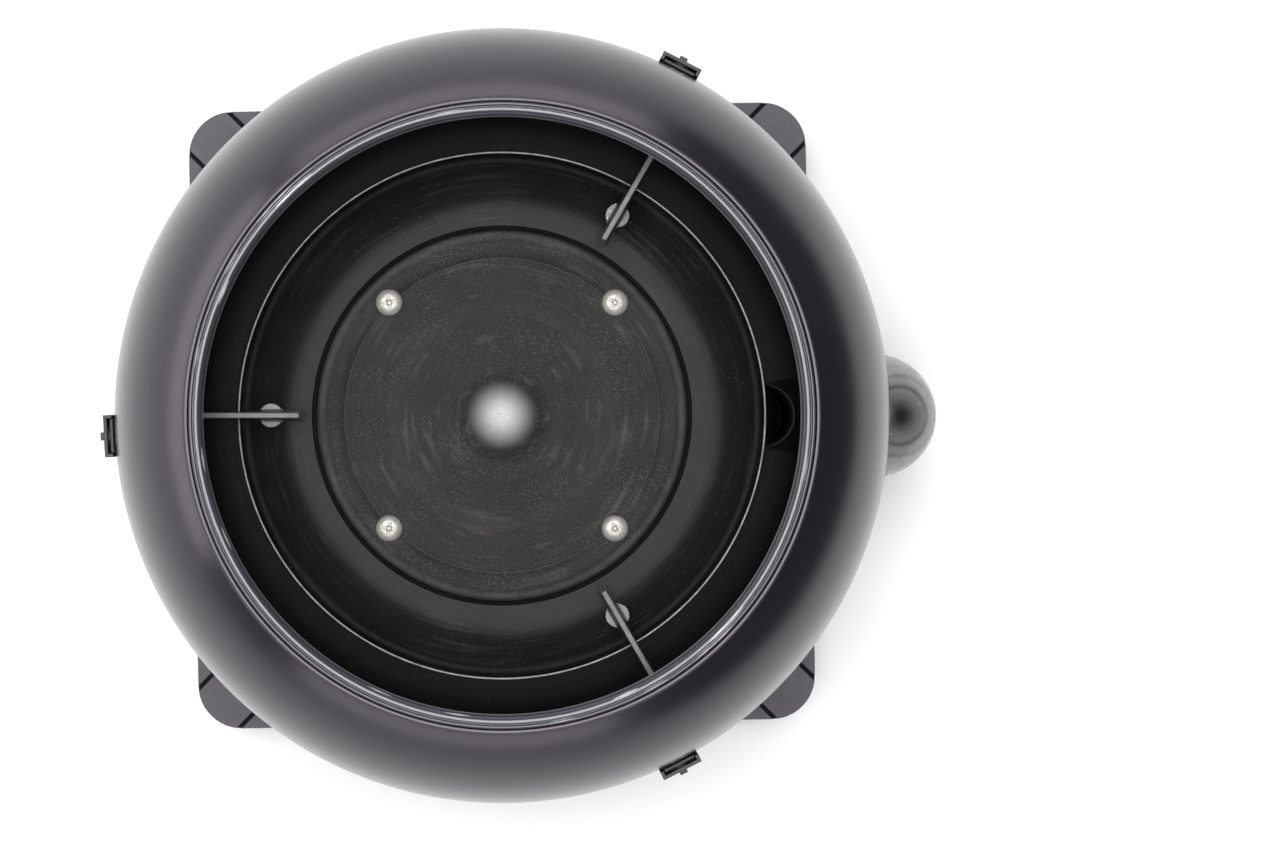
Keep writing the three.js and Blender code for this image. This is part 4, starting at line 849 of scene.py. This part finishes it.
class DISPOSAL_OT_chamber(bpy.types.Operator):
    """Make the concave grinding bowl with its crest, and the drain deck round it"""
    bl_idname = "disposal.chamber"
    bl_label = "Bowl and deck"

    def execute(self, context):
        sizes = context.scene.disposal_chamber
        flat, wall = sizes.crest_flat * 1000, sizes.bowl_wall * 1000
        inner = PLATE_RADIUS + 1
        crest = CREST_OUTER - flat
        width = crest - inner
        skirt, floor = inner + 6.8, CREST_TOP - BOWL_DEPTH
        under_start = math.degrees(math.asin((skirt - inner) / (width + wall))) - 90
        under_end = -math.degrees(math.acos((CREST_OUTER - inner) / (width + wall)))
        outline = [(skirt - 5, SKIRT_FOOT, 0.3), (skirt, SKIRT_FOOT, 0.3),
            *arc((inner, CREST_TOP), (width + wall, BOWL_DEPTH + wall), under_start, under_end, 20),
            (CREST_OUTER, CREST_TOP - 0.1, 0.2), (crest, CREST_TOP - 0.05, 0.25),
            *arc((inner, CREST_TOP), (width, BOWL_DEPTH), -4, -90, 56),
            (inner, floor - wall, 0.3), (skirt - 5, floor - wall)]
        bowl = turned("grinding_bowl_fine", softened(outline), 256)
        for number in NUMBERS:
            seat = middle(f"vane_stud_{number}")
            combine(bowl, cutter_rod(4.55, (seat.x, seat.y, SKIRT_FOOT + 5),
                (seat.x, seat.y, CREST_TOP), 48))
        fitted(bowl, "bowl", "grinding_bowl")

        thick = sizes.deck_thickness * 1000
        top = high("drain_deck").z - 5
        hub, pan, rim = 14.2, inner + 10.1, DECK_OUTER - 2.4
        outline = [(hub, PAN_FOOT, 0.2), (pan, PAN_FOOT, 0.8), (pan, top - thick, 0.5),
            (DECK_OUTER, top - thick, 0.5), (DECK_OUTER, top + 5, 0.3), (rim, top + 5, 0.4),
            (rim, top, 1.2), (pan - thick, top, 0.5), (pan - thick, PAN_FOOT + thick, 0.6),
            (hub, PAN_FOOT + thick, 0.2)]
        deck = turned("drain_deck_fine", softened(outline, 5), 192)
        port = low("drain_well").x + 14.3
        foot, spigot = top - thick - 6, 12.2
        combine(deck, turned("cutter", [(0, foot), (spigot, foot), (spigot, top - 0.5),
            (0, top - 0.5)], 96,
            (port, 0)), "UNION")
        bore = [(0, 120), (PORT_BORE, 120), (PORT_BORE, top - 0.8, 0.4), (PORT_MOUTH, top + 0.3),
            (PORT_MOUTH, top + 2), (0, top + 2)]
        combine(deck, turned("cutter", softened(bore), 96, (port, 0)))
        fitted(deck, "deck", "drain_deck")

        # The port's upright walls take the lighter finish: painted light on them.
        def in_port(place, normal):
            return math.hypot(place.x - port, place.y) < PORT_MOUTH + 0.2 and abs(normal.z) < 0.9

        refinish(deck, "throat", in_port)
        return {"FINISHED"}


class DISPOSAL_OT_plate(bpy.types.Operator):
    """Make the turning plate with its centre dome, and its four cross-recess screws"""
    bl_idname = "disposal.plate"
    bl_label = "Grind plate and screws"

    def execute(self, context):
        top = DOME_TOP - 4
        shoulder = top + 0.08
        outline = [(0, PLATE_FOOT), (PLATE_RADIUS - 0.5, PLATE_FOOT),
            (PLATE_RADIUS, PLATE_FOOT + 0.5),
            *arc((PLATE_RADIUS - 5.2, top - 3.6), (5.2, 3.6), 0, 90, 24),
            (56.15, top), (55.95, top - 0.14), (55.65, top - 0.14)]
        # Support rings keep the shading of the flat even round the screw holes.
        outline += [(radius, top) for radius in (55.45, 55.2, 51, 47, 43, 38, 33, 28, 24.8)]
        outline += [(radius, shoulder) for radius in (24.3, 22.6, 20.5)]
        # The dome swells out of the plate in one soft curve, with a small moulding mark on its top.
        for step in range(1, 30):
            radius = DOME_RADIUS * (1 - step / 30)
            rise = 0.5 + 0.5 * math.cos(math.pi * radius / DOME_RADIUS)
            outline.append((max(radius, 1.0), shoulder + (DOME_TOP - top - 0.08) * rise))
        outline += [(0.75, DOME_TOP - 0.2), (0.3, DOME_TOP - 0.24), (0, DOME_TOP - 0.1)]
        plate = turned("grind_plate_fine", softened(outline, 5), 256, sharp=40)
        for number in range(1, 5):
            seat = middle(f"plate_screw_{number}")
            hole = cutter_rod(2.7, (seat.x, seat.y, PLATE_FOOT - 2), (seat.x, seat.y, DOME_TOP), 48)
            combine(plate, hole, sharp=40)
        fitted(plate, "plate", "grind_plate")

        under = top + GAP
        for number, turn in zip(range(1, 5), (12, 61, 33, 78)):
            node = f"plate_screw_{number}"
            seat, foot, head = middle(node), low(node).z, high(node).z
            outline = [(0, foot), (1.9, foot, 0.2), (2.4, foot + 0.7, 0.2), (2.4, under),
                (4.35, under, 0.15),
                *arc((0, under + 0.5), (4.72, head - under - 0.5), 2, 88, 16), (0, head)]
            screw = turned(f"{node}_fine", softened(outline), 64, (seat.x, seat.y))
            for angle in (turn, turn + 90):
                place = Matrix.Translation(Vector((seat.x, seat.y, head - 0.12)) / 1000)
                place = place @ Matrix.Rotation(math.radians(angle), 4, "Z")
                place = place @ Matrix.Rotation(math.radians(45), 4, "X")
                combine(screw, cutter_block((5.0, 1.25, 1.25), place))
            combine(screw, cutter_cone(0.25, 1.75, (seat.x, seat.y, head - 2.1), 2.6))
            fitted(screw, "nickel", node)
        return {"FINISHED"}


class DISPOSAL_OT_vanes(bpy.types.Operator):
    """Make the three breaker vanes and the slotted studs they straddle"""
    bl_idname = "disposal.vanes"
    bl_label = "Breaker vanes and studs"

    def execute(self, context):
        for number, angle in zip(NUMBERS, VANE_ANGLES):
            fine_copy(f"breaker_vane_{number}", "vane", 0.42, segments=3, limit=20)
            node = f"vane_stud_{number}"
            seat, foot, head = middle(node), low(node).z, high(node).z
            outline = [(0, foot), (3.9, foot, 0.3), (4.2, foot + 0.6), (4.2, head - 0.1, 0.45),
                (0, head)]
            stud = turned(f"{node}_fine", softened(outline, 5), 64, (seat.x, seat.y))
            place = Matrix.Translation(Vector((seat.x, seat.y, head + 0.02)) / 1000)
            place = place @ Matrix.Rotation(math.radians(angle), 4, "Z")
            combine(stud, cutter_block((12, 4.4, 9), place))
            rounded_edges(stud, 0.15, limit=40)
            fitted(stud, "stud", node)
        return {"FINISHED"}


class DISPOSAL_OT_latches(bpy.types.Operator):
    """Make the three latches that clamp the halves: hasp, pin, hinge bracket and catch"""
    bl_idname = "disposal.latches"
    bl_label = "Latches"

    def execute(self, context):
        for number, angle in zip(NUMBERS, LATCH_ANGLES):
            for part, width in (("hasp", 0.3), ("bracket", 0.25), ("catch", 0.3)):
                fine_copy(f"latch_{part}_{number}", "dark steel", width, limit=40)
            node = f"latch_pin_{number}"
            pin = turned(f"{node}_fine", softened([(0, -7.9), (1, -7.9, 0.25), (1, 7.9, 0.25),
                (0, 7.9)]), 32)
            direction = math.radians(angle + 90)
            along = Vector((math.cos(direction), math.sin(direction), 0))
            lie = along.to_track_quat("Z", "Y").to_matrix().to_4x4()
            pin.data.transform(Matrix.Translation(middle(node) / 1000) @ lie)
            fitted(pin, "steel", node)
        return {"FINISHED"}


def body_cutter():
    """The lower body's outside, a little larger, to keep the elbow clear of it."""
    centre, half_width, drop = body_curve(bpy.context.scene.disposal_shells)
    start = math.degrees(math.asin((SHELL_FOOT - SEAM) / drop))
    outline = [(0, SHELL_FOOT), *arc((centre, SEAM), (half_width + GAP, drop + GAP), start, 0, 48),
        (0, SEAM)]
    return turned("cutter", outline, 256)


class DISPOSAL_OT_outlet(bpy.types.Operator):
    """Make the round-backed elbow, its tailpiece, and the clamp round its leg"""
    bl_idname = "disposal.outlet"
    bl_label = "Outlet"

    def execute(self, context):
        level = middle("outlet_pipe").z
        leg_foot = low("outlet_elbow").z
        ball = high("outlet_elbow").z - level
        reach = high("outlet_elbow").x - ball
        foot, top = low("outlet_tailpiece").z, high("outlet_tailpiece").z
        tail = (high("outlet_tailpiece").x - low("outlet_tailpiece").x) / 2
        bore, socket = tail - 2.5, tail + GAP

        outline = [*arc((0, level), (ball, ball), 90, -math.degrees(math.acos(ELBOW_LEG / ball)),
            48),
            (ELBOW_LEG, leg_foot + 10.5, 1.0), (ELBOW_LEG, leg_foot, 0.5), (socket, leg_foot, 0.3),
            (socket, top + GAP), (bore, top + GAP, 0.3), *arc((0, level), (bore, bore), 0, 90, 24)]
        elbow = turned("outlet_elbow_fine", softened(outline), 128, (reach, 0), 40)
        pipe_end = high("outlet_pipe").x + GAP
        combine(elbow, cutter_rod(pipe_radius(), (90, 0, level), (pipe_end, 0, level), 96),
            sharp=40)
        combine(elbow, body_cutter(), sharp=40)
        rounded_edges(elbow, 0.4, 40, 2, 50)
        fitted(elbow, "elbow", "outlet_elbow")

        # The tailpiece has a shallow waist that holds a hose.
        waist = tail - 0.7
        outline = [(bore, foot, 0.5), (tail, foot, 0.7), (tail, foot + 3.2, 0.3),
            (waist, foot + 4.0, 0.4),
            (waist, foot + 5.4, 0.4), (tail, foot + 6.2, 0.3), (tail, top, 0.4), (bore, top, 0.4)]
        fitted(turned("tailpiece_fine", softened(outline), 128, (reach, 0)), "shell",
            "outlet_tailpiece")
        for node, width in (("clamp_band", 0.2), ("clamp_screw", 0.25)):
            fine_copy(node, "steel", width, limit=40)
        return {"FINISHED"}


class DISPOSAL_OT_base(bpy.types.Operator):
    """Make the grooved square base, its round cover, feet, reset button and supply inlet"""
    bl_idname = "disposal.base"
    bl_label = "Base"

    def execute(self, context):
        base = fine_copy("base_housing", "base", 0.3, "base_fine", limit=30)
        groove_floor = BASE_TOP - GROOVE_DEPTH

        def in_groove(place, normal):
            diagonal = Vector((math.copysign(1, place.x), math.copysign(1, place.y),
                0)).normalized()
            sunk = groove_floor - 0.1 < place.z < groove_floor + 0.8
            return sunk and abs(normal.dot(diagonal)) < 0.2 and abs(abs(place.x) - abs(place.y)) < 24

        # The groove walls take the dark finish: painted shade in the grooves.
        refinish(base, "groove", in_groove)
        fine_copy("base_cover", "base", 0.4, limit=40)
        for number in range(1, 5):
            node = f"foot_{number}"
            place = middle(node)
            radius = (high(node).x - low(node).x) / 2
            foot, top = low(node).z, high(node).z
            outline = [(0, foot + 0.5), (radius * 0.45, foot + 0.5, 0.2), (radius * 0.5, foot, 0.2),
                (radius, foot, 0.9), (radius * 0.97, 3.5, 0.5), (3.7, 3.5, 0.3), (3.7, top, 0.5),
                (0, top)]
            fitted(turned(f"{node}_fine", softened(outline), 64, (place.x, place.y)), "rubber",
                node)
        fine_copy("supply_inlet", "insulator", 0.3, limit=40)
        fine_copy("reset_button", "red", 0.35, limit=40, segments=3)

        # The spring is a plain copy of the CAD node's shape, not attached to a body.
        node = "button_spring"
        spring = settle(cad_copy("button_spring_fine", node), 60)
        spring.data.materials.append(FINISHES["steel"])
        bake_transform(spring)
        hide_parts(node)
        return {"FINISHED"}


class DISPOSAL_OT_inner_pieces(bpy.types.Operator):
    """Give the motor, drain run and switch gear inside their finishes"""
    bl_idname = "disposal.inner_pieces"
    bl_label = "Inner pieces"

    def execute(self, context):
        groups = {
            "steel": ("motor_shaft", "upper_bearing", "lower_bearing", "motor_bolt_1",
            "motor_bolt_2",
            "capacitor_clip", "plate_hub"),
            "aluminium": ("upper_end_bell", "lower_end_bell", "capacitor"),
            "laminate": ("stator_core", "rotor_core"),
            "copper": ("upper_winding", "lower_winding"),
            "rubber": ("shaft_seal", "outlet_gasket"),
            "insulator": ("overload_switch",),
            # The drain well and pipe share the deck's finish, darkened as painted shade.
            "deck": ("drain_well", "outlet_pipe"),
        }
        for finish, nodes in groups.items():
            for node in nodes:
                piece = frame["nodes"][node]
                piece.data.materials.clear()
                piece.data.materials.append(FINISHES[finish])
        return {"FINISHED"}


# ---------------------------------------------------------------- studio

def soft_light(name, place, target, size, power):
    """A soft rectangular light that points at a target and isn't seen itself."""
    light = bpy.data.lights.new(name, "AREA")
    light.shape = "RECTANGLE"
    light.size, light.size_y = size
    light.energy = power
    lamp = bpy.data.objects.new(name, light)
    bpy.context.scene.collection.objects.link(lamp)
    lamp.location = place
    lamp.rotation_euler = (Vector(target) - Vector(place)).to_track_quat("-Z", "Y").to_euler()
    lamp.visible_camera = False


def graded_world(scene, backdrop_colour):
    """A room that is brightest just above the horizon. The camera sees a pale backdrop instead."""
    world = bpy.data.worlds.new("Studio world")
    scene.world = world
    world.use_nodes = True
    tree = world.node_tree
    tree.nodes.clear()
    link = tree.links.new
    output = add(tree, "ShaderNodeOutputWorld", (4, 0))
    sky = add(tree, "ShaderNodeBackground", (2, 0), Strength=1.0)
    link(sky.outputs[0], output.inputs[0])
    where = add(tree, "ShaderNodeTexCoord", (-4, 0))
    parts = add(tree, "ShaderNodeSeparateXYZ", (-3, 0))
    link(where.outputs["Generated"], parts.inputs[0])
    ramp = add(tree, "ShaderNodeValToRGB", (0, 0))
    link(parts.outputs[2], ramp.inputs[0])
    stops = ((0.0, 0.55), (0.10, 0.5), (0.24, 0.16), (0.6, 0.1), (1.0, 0.1))
    for index, (place, level) in enumerate(stops):
        stop = ramp.color_ramp.elements[index] if index < 2 else ramp.color_ramp.elements.new(place)
        stop.position = place
        stop.color = (level, level, level * 1.02, 1)
    seen = add(tree, "ShaderNodeLightPath", (0, 2))
    backdrop = add(tree, "ShaderNodeMix", (1, 1), {"data_type": "RGBA"})
    backdrop.inputs[7].default_value = (*backdrop_colour, 1.0)
    link(seen.outputs["Is Camera Ray"], backdrop.inputs[0])
    link(ramp.outputs[0], backdrop.inputs[6])
    link(backdrop.outputs[2], sky.inputs["Color"])


def flat_sheet(name, segments, size, stretch=1.0):
    """A flat square of the stage, stretched along Y."""
    bm = bmesh.new()
    bmesh.ops.create_grid(bm, x_segments=segments, y_segments=segments, size=size)
    bmesh.ops.scale(bm, vec=(1.0, stretch, 1.0), verts=bm.verts)
    return new_object(name, finished_mesh(bm, name))


class DISPOSAL_OT_stage(bpy.types.Operator):
    """Make the floor, the soft lights and the camera that looks straight down into the mouth"""
    bl_idname = "disposal.stage"
    bl_label = "Studio"

    def execute(self, context):
        scene = context.scene
        sizes = scene.disposal_studio
        pale = tuple(sizes.floor_colour)
        floor = flat_sheet("studio_floor", 24, 6)
        floor.location.z = -0.0002
        studio_finish("Pale floor", 0.2, 120.0, 2.0, tuple(value * 0.99 for value in pale), pale,
            (0.75, 0.85), floor)
        graded_world(scene, pale)

        rim_centre, low_aim = (0, 0, RIM_TOP / 1000), (0, 0, 0.3)
        soft_light("Overhead softbox", (-0.12, 0.12, 2.1), rim_centre, (1.5, 1.5), 71)
        soft_light("Left softbox", (-1.9, 0.3, 0.33), low_aim, (2.6, 0.5), 17)
        soft_light("Far softbox", (-0.2, 1.9, 0.33), low_aim, (2.6, 0.46), 13)
        soft_light("Near softbox", (-0.3, -1.9, 0.32), low_aim, (2.2, 0.42), 8)

        # A dark card on the right keeps that side of the body deep, as in a product studio.
        card = flat_sheet("studio_card", 4, 0.16, 7.0)
        card.rotation_euler = (0, math.radians(90), 0)
        card.location = (0.58, -0.1, 0.16)
        studio_finish("Dark studio card", 0.1, 300.0, 4.0, (0.02, 0.02, 0.02), (0.03, 0.03, 0.03),
            (0.85, 0.95), card)
        card.visible_camera = card.visible_diffuse = card.visible_shadow = False

        camera = bpy.data.cameras.new("Camera")
        camera.lens = sizes.lens
        camera.sensor_width = 36
        camera.shift_x, camera.shift_y = 0.1078, -0.0086
        camera.dof.use_dof = False
        camera.clip_start, camera.clip_end = 0.01, 50
        viewer = bpy.data.objects.new("Camera", camera)
        scene.collection.objects.link(viewer)
        viewer.location = (0, 0, RIM_TOP / 1000 + sizes.camera_height)
        viewer.rotation_euler = (0, 0, 0)
        scene.camera = viewer
        scene.view_settings.view_transform = "Standard"
        return {"FINISHED"}


class DISPOSAL_PT_panel(bpy.types.Panel):
    """Sidebar panel with the disposal's sizes, colours and pieces"""
    bl_idname = "DISPOSAL_PT_panel"
    bl_label = "Garbage Disposal"
    bl_space_type = "VIEW_3D"
    bl_region_type = "UI"
    bl_category = "Disposal"

    def draw(self, context):
        layout, scene = self.layout, context.scene
        for title, settings in (("Shells", scene.disposal_shells),
                ("Chamber", scene.disposal_chamber),
                ("Studio", scene.disposal_studio)):
            box = layout.box()
            box.label(text=title)
            for name in settings.bl_rna.properties.keys():
                if name not in ("rna_type", "name"):
                    box.prop(settings, name)
        column = layout.column(align=True)
        for operator in PIECE_OPERATORS:
            column.operator(operator.bl_idname)


PIECE_OPERATORS = (DISPOSAL_OT_finishes, DISPOSAL_OT_shells, DISPOSAL_OT_chamber, DISPOSAL_OT_plate,
    DISPOSAL_OT_vanes, DISPOSAL_OT_latches, DISPOSAL_OT_outlet, DISPOSAL_OT_base,
    DISPOSAL_OT_inner_pieces, DISPOSAL_OT_stage)
CLASSES = (ShellSettings, ChamberSettings, StudioSettings, *PIECE_OPERATORS, DISPOSAL_PT_panel)


def register():
    for cls in CLASSES:
        bpy.utils.register_class(cls)
    bpy.types.Scene.disposal_shells = bpy.props.PointerProperty(type=ShellSettings)
    bpy.types.Scene.disposal_chamber = bpy.props.PointerProperty(type=ChamberSettings)
    bpy.types.Scene.disposal_studio = bpy.props.PointerProperty(type=StudioSettings)


def unregister():
    del bpy.types.Scene.disposal_studio
    del bpy.types.Scene.disposal_chamber
    del bpy.types.Scene.disposal_shells
    for cls in reversed(CLASSES):
        bpy.utils.unregister_class(cls)


def main():
    register()
    bpy.ops.disposal.finishes()
    bpy.ops.disposal.shells()
    bpy.ops.disposal.chamber()
    bpy.ops.disposal.plate()
    bpy.ops.disposal.vanes()
    bpy.ops.disposal.latches()
    bpy.ops.disposal.outlet()
    bpy.ops.disposal.base()
    bpy.ops.disposal.inner_pieces()
    bpy.ops.disposal.stage()


if __name__ == "__main__":
    main()
